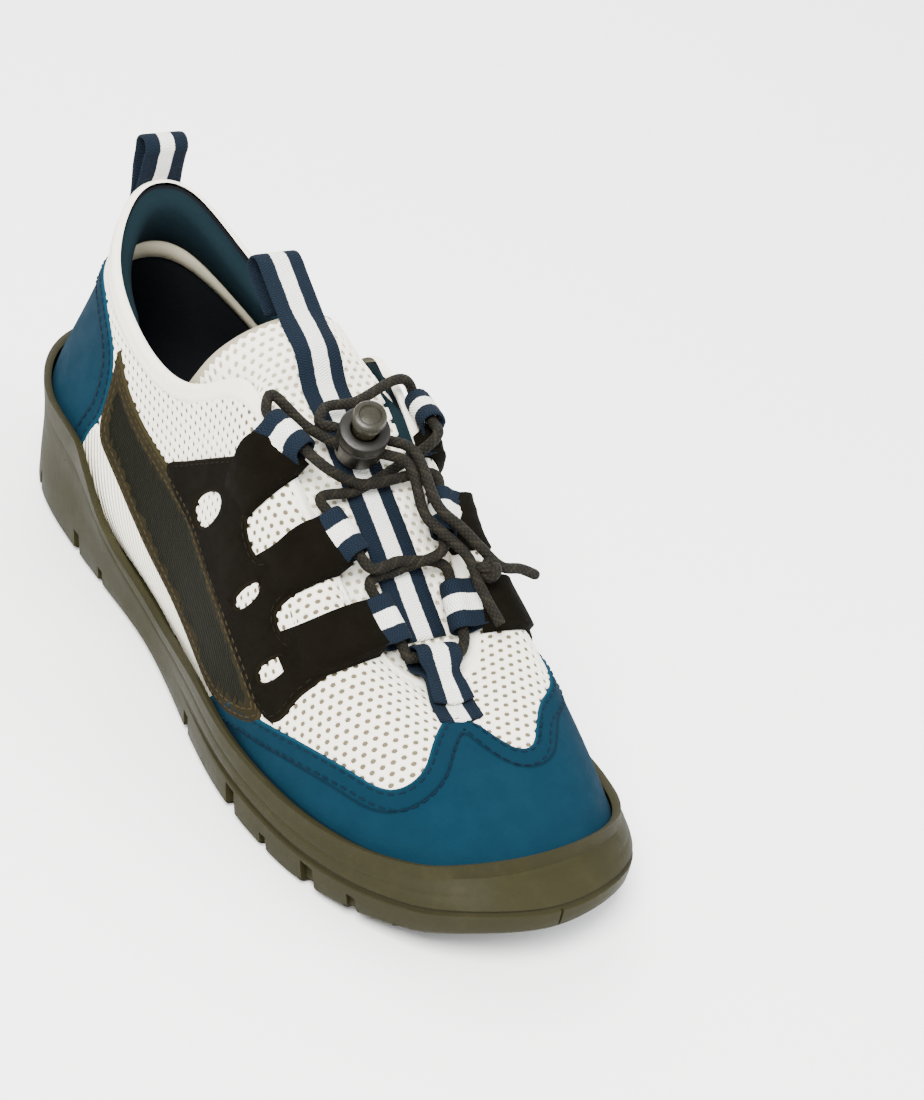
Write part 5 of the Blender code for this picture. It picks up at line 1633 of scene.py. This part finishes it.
def notch_box(around, notch):
    """A box at the sole's side, aslant so that its lower end lies nearer to the toe."""
    spot, inner = outline(around), outline(around, notch.depth)
    out = unit(spot - inner)
    ahead = np.array([-out[1], out[0]])
    tread = float(TREAD(around))
    corners, sides = block((-1, -1, 0), (1, 1, 1))
    placed = []
    for x, y, z in corners:
        flat = spot + out * (x * notch.depth) + ahead * (y * notch.width / 2)
        flat = flat + (0, -NOTCH_SLANT * notch.height * (1 - z))
        placed.append((*flat, tread - MM + z * (notch.height + MM)))
    return placed, sides


def cut_away(obj, mesh):
    cutter = bpy.data.objects.new(mesh.name, mesh)
    bpy.context.scene.collection.objects.link(cutter)
    cut = obj.modifiers.new("cut", "BOOLEAN")
    cut.operation = "DIFFERENCE"
    cut.solver = "EXACT"
    cut.object = cutter
    apply_modifiers(obj)
    bpy.data.objects.remove(cutter)


def make_outsole():
    sections = [sole_section(a) for a in fine_ring(FINE_ROUND)]
    sole = loft("outsole_moulded", sections, "rubber", ("outsole",))
    for mesh in sole_cutters():
        cut_away(sole, mesh)


# The insole: how many places round it, the share where its top begins to round off, and by how much it rises
INSOLE_ROUND = 128
INSOLE_FLAT = 0.9
INSOLE_RISE = 0.9 * MM


def make_insole():
    sections = []
    for around in fine_ring(INSOLE_ROUND):
        bed = float(BED(around))
        ups = np.array([foot_of_wall(around), 1 / ROWS, 2 / ROWS])
        wall = FORM.at(np.full_like(ups, around), ups, -UPPER_WALL - INSOLE_GAP)
        section = []
        top = bed + INSOLE
        for share, height in ((INSOLE_FLAT, top), (1.0, top + INSOLE_RISE), (1.0, bed + GAP)):
            spot = np.array([np.interp(height, wall[:, 2], wall[:, k]) for k in (0, 1)])
            spot = np.array([SWAY, spot[1]]) + (spot - (SWAY, spot[1])) * share
            section.append([*spot, height])
        sections.append(section)
    loft("insole_cover", sections, "insole", ("insole",))


def make_upper():
    """The upper's base layer with its lining: one wall on the form. Its grey-brown outside, seen through the
    air mesh's holes, is painted shade in the holes.
    """
    rows = []
    for around in fine_ring(FINE_ROUND):
        ups = np.linspace(0, 1, FINE_RISE + 1)
        ups[0] = foot_of_wall(around)
        rows.append(FORM.at(np.full_like(ups, around), ups))
    shell = sheet("upper_wall", rows, "backing_painted_hole_shade", closed=True, replaces=("upper",), slot="mesh")
    thicken(shell, UPPER_WALL, "lining")


# The collar: how far round its parts run from the heel, their places across the edge, and their sizes
ROLL_END = 1.0
ROLL_STEPS = 561
ROLL_WIDTH = 3.6 * MM
ROLL_TURNS = np.radians(np.linspace(-20, 120, 8))
ROLL_FOOT = np.array([0.940, 0.946, 0.970])
ROLL_FOOT_LIFT = np.array([0.1, 0.95, 1.0]) * MM
LINING_END = 0.555
LINING_STEPS = 301
LINING_PAD = 4.6 * MM
LINING_LOW = 0.76
LINING_THIN = 0.7 * MM
TAPE_END = 0.33
TAPE_STEPS = 161
TAPE_UPS = LINING_LOW + np.array([0.012, 0.008, -0.03, -0.068, -0.072])
TAPE_LIFTS = -UPPER_WALL - np.array([0.0, 0.6, 0.7, 0.6, 0.0]) * MM


def roll_row(around):
    """The rolled edge's points across the wall's top, from its foot on the outer side."""
    inner, outer = FORM.at(around, 1.0, -UPPER_WALL), FORM.at(around, 1.0)
    rise = unit(outer - FORM.at(around, 0.97))
    out = unit(outer - inner)
    turn = ROLL_TURNS[:, None]
    ring = out * np.cos(turn) + rise * np.sin(turn)
    foot = FORM.at(np.full(len(ROLL_FOOT), around), ROLL_FOOT, ROLL_FOOT_LIFT)
    return np.vstack([foot, (inner + outer) / 2 + ring * ROLL_WIDTH / 2])


def lining_row(around):
    """The padded lining's points down the wall's inside, thick at the heel and thin at the throat."""
    depth = np.linspace(0, 1, 15)
    swell = np.sin(np.pi * depth**0.6) ** 0.6
    thick = np.interp(abs(around), (0.27, 0.34), (LINING_PAD, LINING_THIN))
    start = np.interp(abs(around), (0.455, 0.485), (0.3, 1.0)) * UPPER_WALL
    base = np.interp(depth, (0, 0.2, 1), (-start, -UPPER_WALL, -UPPER_WALL + 0.2 * MM))
    ups = 1 - depth * (1 - LINING_LOW)
    return FORM.at(np.full_like(ups, around), ups, base - thick * swell)


def make_collar():
    """The collar's rolled edge, the padded lining within it and the tape that is sewn on below."""
    arounds = np.linspace(-ROLL_END, ROLL_END, ROLL_STEPS)
    sheet("collar_edge_roll", [roll_row(a) for a in arounds], "mesh")
    arounds = np.linspace(-LINING_END, LINING_END, LINING_STEPS)
    sheet("collar_lining_pad", [lining_row(a) for a in arounds], "collar_lining")
    arounds = np.linspace(-TAPE_END, TAPE_END, TAPE_STEPS)
    tape = [FORM.at(np.full_like(TAPE_UPS, a), TAPE_UPS, TAPE_LIFTS) for a in arounds]
    sheet("collar_inner_tape", tape, "collar_tape")


# The white ribbed strip between the side band and the sole's rim
RIB_STRIP = (
    Border(0.296, 0.44),
    Border(0.318, 0.47),
    Border(0.359, 0.415),
    Border(0.400, 0.325),
    Border(0.440, 0.235),
    Border(0.480, 0.18),
    Border(0.522, 0.145),
    Border(0.575, 0.11),
    Border(0.560, 0.02),
    Border(0.420, 0.02),
    Border(0.330, 0.02),
    Border(0.300, 0.20),
)


def outlines():
    """The borders of the pieces on the upper, by name."""
    cap_foot = [(around, OVERLAY_FOOT) for around in (1.30, 1.15, 1.0, 0.85, 0.70)]
    counter_foot = [(around, OVERLAY_FOOT) for around in (-0.2, 0.0, 0.2)]
    mirrored = border(COUNTER_INNER)[1:] * (-1, 1)
    return {
        "cap": soften(np.concatenate([border(CAP_EDGE), cap_foot]), 2),
        "counter": soften(np.concatenate([border(COUNTER_OUTER)[::-1], mirrored, counter_foot]), 2),
        "band": soften(border(BAND_BACK + BAND_FRONT), 2),
        "arms_outer": soften(border(WEB_ARMS + WEB_FOOT_OUTER), 2),
        "arms_inner": soften(border(WEB_ARMS + WEB_FOOT_INNER, inner=True), 2),
        "ribs": soften(border(RIB_STRIP), 2),
    }


# How far within their borders the suede's hem and the band's edge strips end, and over what width
HEM_END = 6.0 * MM
HEM_STEP = 0.7 * MM
BAND_END = 4.2 * MM
BAND_STEP = 0.8 * MM


def hem_shape(distance):
    """Suede whose border is folded double."""
    inward = ease(np.clip((distance - HEM_END) / HEM_STEP, 0, 1))
    return round_edge(distance) * (1 - 0.25 * inward)


def band_shape(distance):
    """The band's two raised edge strips with its lower middle."""
    inward = ease(np.clip((distance - BAND_END) / BAND_STEP, 0, 1))
    return round_edge(distance) * (1 - 0.4 * inward)


# The thicknesses of the ribbed strip and the side band, and how far in the band's middle fabric begins
RIB_THICKNESS = 0.8 * MM
BAND_THICKNESS = 1.35 * MM
BAND_MIDDLE = 4.7 * MM


def make_overlays(shape_of):
    for name, node in (("cap", "toe_cap"), ("counter", "heel_counter")):
        lay(f"{node}_suede", shape_of[name], "suede", shape=hem_shape, replaces=(node,))
    lay("rib_strip_cloth", shape_of["ribs"], "rib_strip", lift=0.0, thick=RIB_THICKNESS)
    kept = {"shape": band_shape, "thick": BAND_THICKNESS, "replaces": ("side_band",)}
    band = lay("side_band_cloth", shape_of["band"], "band_edge", **kept)
    band.data.materials.append(MATERIALS["band_middle"])
    away = np.empty(2 * len(band.data.loops), np.float32)
    band.data.uv_layers["border"].data.foreach_get("uv", away)
    away = away[::2] * MM
    for face in band.data.polygons:
        if away[face.loop_start : face.loop_start + face.loop_total].mean() > BAND_MIDDLE:
            face.material_index = 1
    for side in ("outer", "inner"):
        holes = [soften(border(hole, inner=side == "inner"), 2) for hole in WEB_HOLES]
        web, node = shape_of[f"arms_{side}"], f"eyestay_{side}"
        lay(f"{node}_suede", web, "web", holes=holes, lift=WEB_LIFT, replaces=(node,))


# How far within their borders the seams run, and how finely a border is followed
HEM_SEAMS = (1.4 * MM, 5.4 * MM)
BAND_SEAMS = (1.5 * MM, 3.5 * MM)
WEB_SEAM = 1.6 * MM
WEB_SEAM_LIFT = 1.3 * MM
WEB_THREAD = 0.4 * MM
SEAM_STEP = 1.5 * MM


def make_stitches(shape_of):
    ends = {"cap": ((1.45, 0.10), (0.55, 0.10)), "counter": ((0.30, 0.10), (-0.325, 0.10))}
    for name, node in (("cap", "toe_cap"), ("counter", "heel_counter")):
        lines = [sewn_line(shape_of[name], distance, *ends[name]) for distance in HEM_SEAMS]
        stitches(f"{node}_stitches", lines, "thread_navy")
    band = even_loop(shape_of["band"], SEAM_STEP)
    stitches("side_band_stitches", [inset(band, distance) for distance in BAND_SEAMS], "thread_brown")
    for side in ("outer", "inner"):
        seam = inset(even_loop(shape_of[f"arms_{side}"], SEAM_STEP), WEB_SEAM)
        name = f"eyestay_{side}_stitches"
        stitches(name, [seam], "thread_black", width=WEB_THREAD, lift=WEB_SEAM_LIFT)


# The air mesh: how far up it runs, how far down into the cup, and how far under the pieces that cover it.
# Each chart's stretch round the shoe runs a little past the next one's start.
MESH_TOP = 0.985
MESH_SINK = 3 * MM
MESH_MARGIN = 3.4 * MM
MESH_CHARTS = (("outer", -0.015, 0.66), ("front", 0.64, 1.36), ("inner", 1.34, 2.015))


def make_air_mesh(shape_of):
    """The open knit in three charts, so that its holes keep their size from heel to toe."""
    over = [shape_of[name] for name in ("cap", "band", "ribs", "arms_outer", "arms_inner", "counter")]
    over.append(shape_of["counter"] + (2, 0))
    holes = [soften(border(hole, inner=inner), 2) for hole in WEB_HOLES for inner in (False, True)]

    def wanted(places):
        height = FORM.at(places[:, 0], places[:, 1])[:, 2]
        return (places[:, 1] < MESH_TOP) & (height > rim(places[:, 0]) - MESH_SINK)

    for side, start, end in MESH_CHARTS:
        air_mesh(f"air_mesh_{side}", Chart(start, end), wanted, over, holes)


# The spacing of the tongue's finer net along it and across it
TONGUE_STEP = 2.4 * MM
TONGUE_STEP_ACROSS = 1.8 * MM


def refine(net):
    """A net of points made finer on smooth curves both ways."""
    fine = smooth_rows(net, TONGUE_STEP)
    return smooth_rows(fine.transpose(1, 0, 2), TONGUE_STEP_ACROSS).transpose(1, 0, 2)


def make_tongue():
    net = refine(tongue_net()[:, ::-1])
    # The base's grey-brown, seen through the air mesh's holes, is partly painted shade in the holes.
    tongue = sheet("tongue_padded", net, "tongue_base_painted_hole_shade", replaces=("tongue",), slot="mesh")
    thicken(tongue, TONGUE_WALL, "collar_lining")
    chart = NetChart(net)
    air_mesh("tongue_air_mesh", chart, lambda found: found[:, 0] > 2, surface=chart.surface)


def make_tongue_strap():
    woven("tongue_strap_tape", strap_rows(), "tongue_strap")


def strap_rows():
    """Rows across the webbing along the tongue's middle and its standing fold."""
    net = tongue_net()
    half = WEBBING_WIDTH / 2
    offsets = np.array([-half, 0, half])
    gap = TONGUE_GAP + WEBBING / 2
    rows = []
    for k in STRAP_ROWS:
        row, ahead = net[k], net[k + 1]
        run = ahead[TONGUE_CENTRE] - row[TONGUE_CENTRE]
        out = np.array([0, -run[2], run[1]]) / np.hypot(run[1], run[2])
        rows.append(across(row, SWAY, offsets, out * gap))
    stand = np.array([0, math.cos(STRAP_RISE), math.sin(STRAP_RISE)])
    out = np.array([0, -stand[2], stand[1]])
    back = 2 * (gap + 2 * GAP) + TONGUE_WALL
    radius = back / 2
    base = across(net[-1], SWAY, offsets, out * (gap + 2 * GAP))
    base[:, 1:] = base[:, 1:].mean(axis=0)
    rows.append(base)
    for share in (0.35, 0.7, 1.0):
        rows.append(base + stand * share * STRAP_STAND)
    centre = base + stand * STRAP_STAND - out * radius
    for degrees in (60, 30, 0, -30, -60):
        angle = math.radians(degrees)
        rows.append(centre + radius * (math.cos(angle) * stand + math.sin(angle) * out))
    for share in (1.0, 0.6, 0.2):
        rows.append(base + stand * share * STRAP_STAND - out * back)
    return rows


# How high the tape's lower layer lies at its root, hidden by the web's finger or the toe cap, the shares of
# the way to the edge where its rows lie, and the neck of a tall loop: how far out it is, and how wide
ROOT_LIFT = 1.2 * MM
ROOT_SHARES = (0.0, 0.33, 0.65)
LONG_ROOT_SHARES = (-0.45, -0.2)
NECK_OUT = 0.45
NECK_WIDE = 0.8


def loop_lift(loop, share):
    """The height of a loop's lower layer over the form, which climbs from its root to the throat's edge."""
    low = loop.base if loop.reach > 2 * loop.radius else ROOT_LIFT
    return float(np.interp(share, (0.0, ROOT_SHARES[-1]), (low, loop.base)))


def loop_rows(loop):
    stack = loop.stack - loop.base
    rows = [loop.on_form(share, loop_lift(loop, share)) for share in ROOT_SHARES]
    if loop.long_root:
        rows[:0] = [loop.on_form(share, ROOT_LIFT) for share in LONG_ROOT_SHARES]
    tall = loop.reach > 2 * loop.radius
    if tall:
        rows.append(loop.beyond(NECK_OUT * loop.reach, loop.middle - NECK_WIDE * loop.radius))
    for degrees in (-120, -75, -30, 0, 30, 75, 120):
        angle = math.radians(degrees)
        out, lift = loop.radius * math.cos(angle), loop.radius * math.sin(angle)
        rows.append(loop.beyond(loop.reach + out, loop.middle + lift))
    if tall:
        rows.append(loop.beyond(NECK_OUT * loop.reach, loop.middle + NECK_WIDE * loop.radius))
    rows += [loop.on_form(share, loop_lift(loop, share) + stack) for share in reversed(ROOT_SHARES)]
    return rows


def make_loops():
    loops = {}
    for side in ("outer", "inner"):
        for k, seat in enumerate(LACE_LOOPS, 1):
            loops[side, k] = Loop(seat, inner=side == "inner")
    loops["front"] = Loop(FRONT_LOOP)
    loops["front"].long_root = True
    for key, loop in loops.items():
        name = "lace_loop_front" if key == "front" else f"lace_loop_{key[0]}_{key[1]}"
        woven(name + "_tape", loop_rows(loop), name)
    pull = Loop(PULL_LOOP, reach=PULL_LOOP_REACH, base_lift=3 * GAP)
    woven("heel_pull_loop_tape", loop_rows(pull), "heel_pull_loop")
    return loops


# The web's fingers over the loops' roots: how far along a loop they run, and where they slope down beside it
FINGER = (-0.6, 0.8)
FINGER_ROWS = 22
FINGER_DROPS = (0.8 * MM, 0.3 * MM)
FINGER_CLIMB = (-0.6, -0.1)
FINGER_SLOPE = (1.0, 1.14)
FINGER_TOP = 0.995
FINGER_SIDES = (-1.16, -1.12, -1.07, -1.0, -0.5, 0.0, 0.5, 1.0, 1.07, 1.12, 1.16)


def make_fingers(loops):
    """A black patch that lies over each side loop's sewn root."""
    sides = np.array(FINGER_SIDES)
    shares = np.linspace(*FINGER, FINGER_ROWS)
    for key, loop in loops.items():
        if key == "front":
            continue
        above = loop.stack - loop.base + WEBBING / 2 + 2 * GAP
        rows = []
        for share in shares:
            at, shift = loop.place(share)
            climb = np.interp(share, FINGER_CLIMB, (0.0, 1.0))
            over = ease(np.interp(np.abs(sides), FINGER_SLOPE, (1.0, 0.0)) * climb)
            lifts = ROOT_LIFT + (loop_lift(loop, share) + above - ROOT_LIFT) * over
            ups = np.minimum(FINGER_TOP, at[1] + sides * shift[1])
            rows.append(FORM.at(at[0] + sides * shift[0], ups, lifts))
        drop = np.where(np.abs(sides) <= 1.0, *FINGER_DROPS)
        rows.append(rows[-1] - loop.normal * drop[:, None])
        off_border = np.full((len(rows) * len(sides), 2), 3.0)
        sheet(f"web_finger_{key[0]}_{key[1]}", rows, "web", uvs={"border": off_border})


# How far the cord runs straight on from a loop's mouth before it turns, and how one run passes the other
ARC_LEAD = 1.3 * CORD
PASS_OVER = Vector((0, 0, 2.0 * MM))
PASS_UNDER = Vector((0, 0, -0.8 * MM))


def make_lace(loops):
    """The cord's crossings on the tongue, one run over the other, and its run through the front loop."""
    for name, spots, low, high in (("lower", LOWER_CROSSING, 3, 2), ("upper", UPPER_CROSSING, 2, 1)):
        middle = [over_tongue(*spot) for spot in spots]
        first = eye_end(loops["outer", low], middle[0], lead=ARC_LEAD)
        last = eye_end(loops["inner", high], middle[-1], lead=ARC_LEAD)
        below = [spot + PASS_UNDER for spot in middle]
        cord_piece(f"lace_{name}_rising", [*first, *below, *reversed(last)], (f"lace_cross_{name}",))
        first = eye_end(loops["inner", low], middle[0], lead=ARC_LEAD)
        last = eye_end(loops["outer", high], middle[0], lead=ARC_LEAD)
        cord_piece(f"lace_{name}_crossing", [*first, middle[0] + PASS_OVER, *reversed(last)])
    front = loops["front"]
    ends = [eye_end(loops[side, 3], front.eye) for side in ("outer", "inner")]
    near, far = (eye_end(front, end[-1], lead=0.3 * CORD)[1:4] for end in ends)
    cord_piece("lace_front_run", [*ends[0], *reversed(near), *far, *reversed(ends[1])], ("lace_front",))


def make_cord_ends(loops, slot):
    along, side, _ = lock_frame()
    back = slot + Vector((0, LOCK_WIDTH / 2, 0))
    knot_middle = Vector(FORM.at(KNOT_PLACE.around, KNOT_PLACE.up, KNOT_PLACE.lift))
    knot = make_knot(knot_middle)
    for name, sign, end in (("outer", -1, CORD_END_B), ("inner", 1, CORD_END_A)):
        loop = loops[name, 1]
        lane = slot + side * sign * LANE
        mouth = lane - along * LOCK_WIDTH / 2
        start = eye_end(loop, loop.eye + Vector((0, LENGTH, 0)), lead=0.5 * CORD)
        if name == "outer":
            bend = [start[-1] + TOP_OUTER_START, mouth - along * TOP_OUTER_LEAD + TOP_OUTER_END]
        else:
            bend = [start[-1] + TOP_INNER_START, back + TOP_INNER_PAST]
            bend += [back + TOP_INNER_TURN, mouth - along * TOP_INNER_LEAD]
        top = [*start, *bend, mouth, lane - along * CORD_MEETING]
        cord_piece(f"lace_top_{name}_run", top, (f"lace_top_{name}",))
        route = [lane + along * reach for reach in TAIL_LEADS]
        route += beside(TAIL_ROUTE, route[-1], sign * LANE)
        route += [knot_middle + point * MM for point in end]
        nodes = (f"lace_tail_{name}", "lace_end_b" if name == "outer" else "lace_end_a")
        tail, path = cord_piece(f"lace_tail_{name}_cord", route, nodes)


# The knot: points along its cord, the size of its turns, and how far they weave up and down
KNOT_STEPS = 72
KNOT_SIZE = 0.95 * MM
KNOT_WEAVE = 1.3


def make_knot(middle):
    """A three-lobed knot of the same cord, pulled tight."""
    t = np.linspace(0, 2 * math.pi, KNOT_STEPS, endpoint=False)
    x, y = np.sin(t) + 2 * np.sin(2 * t), np.cos(t) - 2 * np.cos(2 * t)
    curve = np.column_stack([x, y, -KNOT_WEAVE * np.sin(3 * t)]) * KNOT_SIZE
    knot, _ = cord_piece("lace_knot_tight", curve + np.array(middle), ("lace_knot",), closed=True)
    return knot


# The round pieces of the cord lock: sides round them, the angle past which an edge is sharp, and a radius so
# small that their ends close
TURNED_SIDES = 64
TURNED_SHARP = math.radians(35)
PIN = 0.1 * MM
BORE = STEM_WIDTH / 2 + 0.4 * MM


def turned(name, profile, finish, replaces, body=BODY):
    """A round solid on the lock's axis from a profile of (radius, height) above the lock's base."""
    base = lock_base()
    along, side, axis = lock_frame()
    vertices = []
    for radius, height in profile:
        for k in range(TURNED_SIDES):
            turn = 2 * math.pi * k / TURNED_SIDES
            way = along * math.cos(turn) + side * math.sin(turn)
            vertices.append(base + axis * height + way * radius)
    faces = tube_faces(len(profile), TURNED_SIDES)
    obj = piece(name, vertices, faces, finish, replaces=(replaces,), body=body, slot="lock")
    obj.data.set_sharp_from_angle(angle=TURNED_SHARP)
    return obj


def barrel_profile():
    """The lock's body from its base: a waist above the cord slot, a collar, and the button's bore."""
    wide = LOCK_WIDTH / 2
    return [
        (PIN, 0.0),
        (wide - 1.6 * MM, 0.0),
        (wide - 0.7 * MM, 0.3 * MM),
        (wide - 0.4 * MM, 1.0 * MM),
        (wide - 0.1 * MM, SLOT_HIGH + 0.4 * MM),
        (wide - 0.5 * MM, SLOT_HIGH + 0.8 * MM),
        (wide - 0.5 * MM, SLOT_HIGH + 1.3 * MM),
        (wide, SLOT_HIGH + 1.7 * MM),
        (wide, LOCK_HEIGHT - 1.0 * MM),
        (wide - 0.3 * MM, LOCK_HEIGHT - 0.3 * MM),
        (wide - 1.0 * MM, LOCK_HEIGHT),
        (BORE + 0.5 * MM, LOCK_HEIGHT),
        (BORE, LOCK_HEIGHT - 0.5 * MM),
        (BORE, SLOT_HIGH - GAP),
        (PIN, SLOT_HIGH - GAP),
    ]


def button_profile():
    """The button from its stem's foot: stem, cap with a groove round it, and a shallow dish on top."""
    wide = BUTTON_WIDTH / 2
    stem_low = SLOT_HIGH + BUTTON_TRAVEL + GAP
    cap_low = LOCK_HEIGHT + BUTTON_TRAVEL + GAP
    top = cap_low + BUTTON_CAP
    return [
        (PIN, stem_low),
        (STEM_WIDTH / 2, stem_low),
        (STEM_WIDTH / 2, cap_low),
        (wide - 0.5 * MM, cap_low),
        (wide, cap_low + 0.5 * MM),
        (wide, top - 2.1 * MM),
        (wide - 0.5 * MM, top - 1.7 * MM),
        (wide - 0.5 * MM, top - 1.3 * MM),
        (wide - 0.1 * MM, top - 1.0 * MM),
        (wide - 0.4 * MM, top - 0.3 * MM),
        (wide - 1.1 * MM, top),
        (wide - 1.7 * MM, top),
        (wide - 2.0 * MM, top - 0.5 * MM),
        (0.6 * wide, top - 0.5 * MM),
        (0.35 * wide, top - 0.25 * MM),
        (PIN, top - 0.2 * MM),
    ]


def make_lock():
    """The cord lock: a round body with a slot for both cords, and its sprung button."""
    along, side, axis = lock_frame()
    slot_middle = lock_base() + axis * (SLOT_LOW + SLOT_HIGH) / 2
    barrel = turned("cord_lock_barrel", barrel_profile(), "lock", "cord_lock_body")
    half_size = (LOCK_WIDTH, LOCK_SLOT / 2, (SLOT_HIGH - SLOT_LOW) / 2)
    corners, sides = block([-size for size in half_size], half_size)
    spots = [tuple(slot_middle + along * x + side * y + axis * z) for x, y, z in corners]
    cut_away(barrel, boxes_mesh("cord_slot", [(spots, sides)]))
    turned("cord_lock_push_button", button_profile(), "button", "cord_lock_button", body="button")
    return slot_middle


def make_camera():
    azimuth, elevation, roll = (math.radians(v) for v in (CAMERA_AZIMUTH, CAMERA_ELEVATION, CAMERA_ROLL))
    level = math.cos(elevation)
    back = Vector((math.sin(azimuth) * level, -math.cos(azimuth) * level, math.sin(elevation)))
    right = Vector((0, 0, 1)).cross(back).normalized()
    down = right.cross(back)
    turned_right = right * math.cos(roll) + down * math.sin(roll)
    turned_up = back.cross(turned_right)
    data = bpy.data.cameras.new("camera")
    data.lens = FOCAL
    data.sensor_width = SENSOR
    data.clip_start = 10 * MM
    camera = bpy.data.objects.new("camera", data)
    camera.matrix_world = matrix_of(np.array([turned_right, turned_up, back]).T, CAMERA_AT)
    bpy.context.scene.collection.objects.link(camera)
    bpy.context.scene.camera = camera


def matrix_of(turn, spot):
    matrix = Matrix.Identity(4)
    for i in range(3):
        for j in range(3):
            matrix[i][j] = turn[i][j]
        matrix[i][3] = spot[i]
    return matrix


# Lights: where each stands, its size, its power and its colour. All point at AIM.
Light = namedtuple("Light", "name place size power colour")
LIGHTS = (
    Light("key", (-0.8, -0.6, 1.5), 0.9, 106, (1.0, 0.985, 0.955)),
    Light("fill", (1.2, -1.0, 1.0), 1.4, 28, (0.96, 0.98, 1.0)),
    Light("back", (0.5, 1.3, 1.2), 1.2, 40, (1.0, 1.0, 1.0)),
)
AIM = Vector((0, 0, 0.04))
AMBIENT = 1.45
SKY = (0.94, 0.96, 1.0, 1)


def make_lights():
    world = bpy.data.worlds.new("studio")
    bpy.context.scene.world = world
    world.use_nodes = True
    background = world.node_tree.nodes["Background"]
    background.inputs["Color"].default_value = SKY
    background.inputs["Strength"].default_value = AMBIENT
    for light in LIGHTS:
        data = bpy.data.lights.new(light.name, "AREA")
        data.size = light.size
        data.energy = light.power
        data.color = light.colour
        obj = bpy.data.objects.new(light.name, data)
        obj.location = light.place
        way = AIM - Vector(light.place)
        obj.rotation_euler = way.to_track_quat("-Z", "Y").to_euler()
        bpy.context.scene.collection.objects.link(obj)


# How far the floor runs from its middle
FLOOR_REACH = 6.0


def make_floor():
    look = Shading("floor", to_linear(250, 250, 249), 0.8)
    look.colour(look.mix(look.noise(0.5, 2), to_linear(249, 249, 248), to_linear(252, 252, 251)))
    look.relief((look.noise(2 * MM, 2), 0.02 * MM))
    mesh = bpy.data.meshes.new("floor")
    corners = [(x * FLOOR_REACH, y * FLOOR_REACH, 0) for x, y in ((-1, -1), (1, -1), (1, 1), (-1, 1))]
    mesh.from_pydata(corners, [], [(0, 1, 2, 3)])
    mesh.materials.append(look.material)
    floor = bpy.data.objects.new("floor", mesh)
    bpy.context.scene.collection.objects.link(floor)


def main():
    make_camera()
    make_lights()
    make_floor()
    loops = make_loops()
    make_fingers(loops)
    make_lace(loops)
    make_cord_ends(loops, make_lock())
    make_outsole()
    make_insole()
    make_upper()
    make_collar()
    shape_of = outlines()
    make_overlays(shape_of)
    make_stitches(shape_of)
    make_air_mesh(shape_of)
    make_tongue()
    make_tongue_strap()


main()
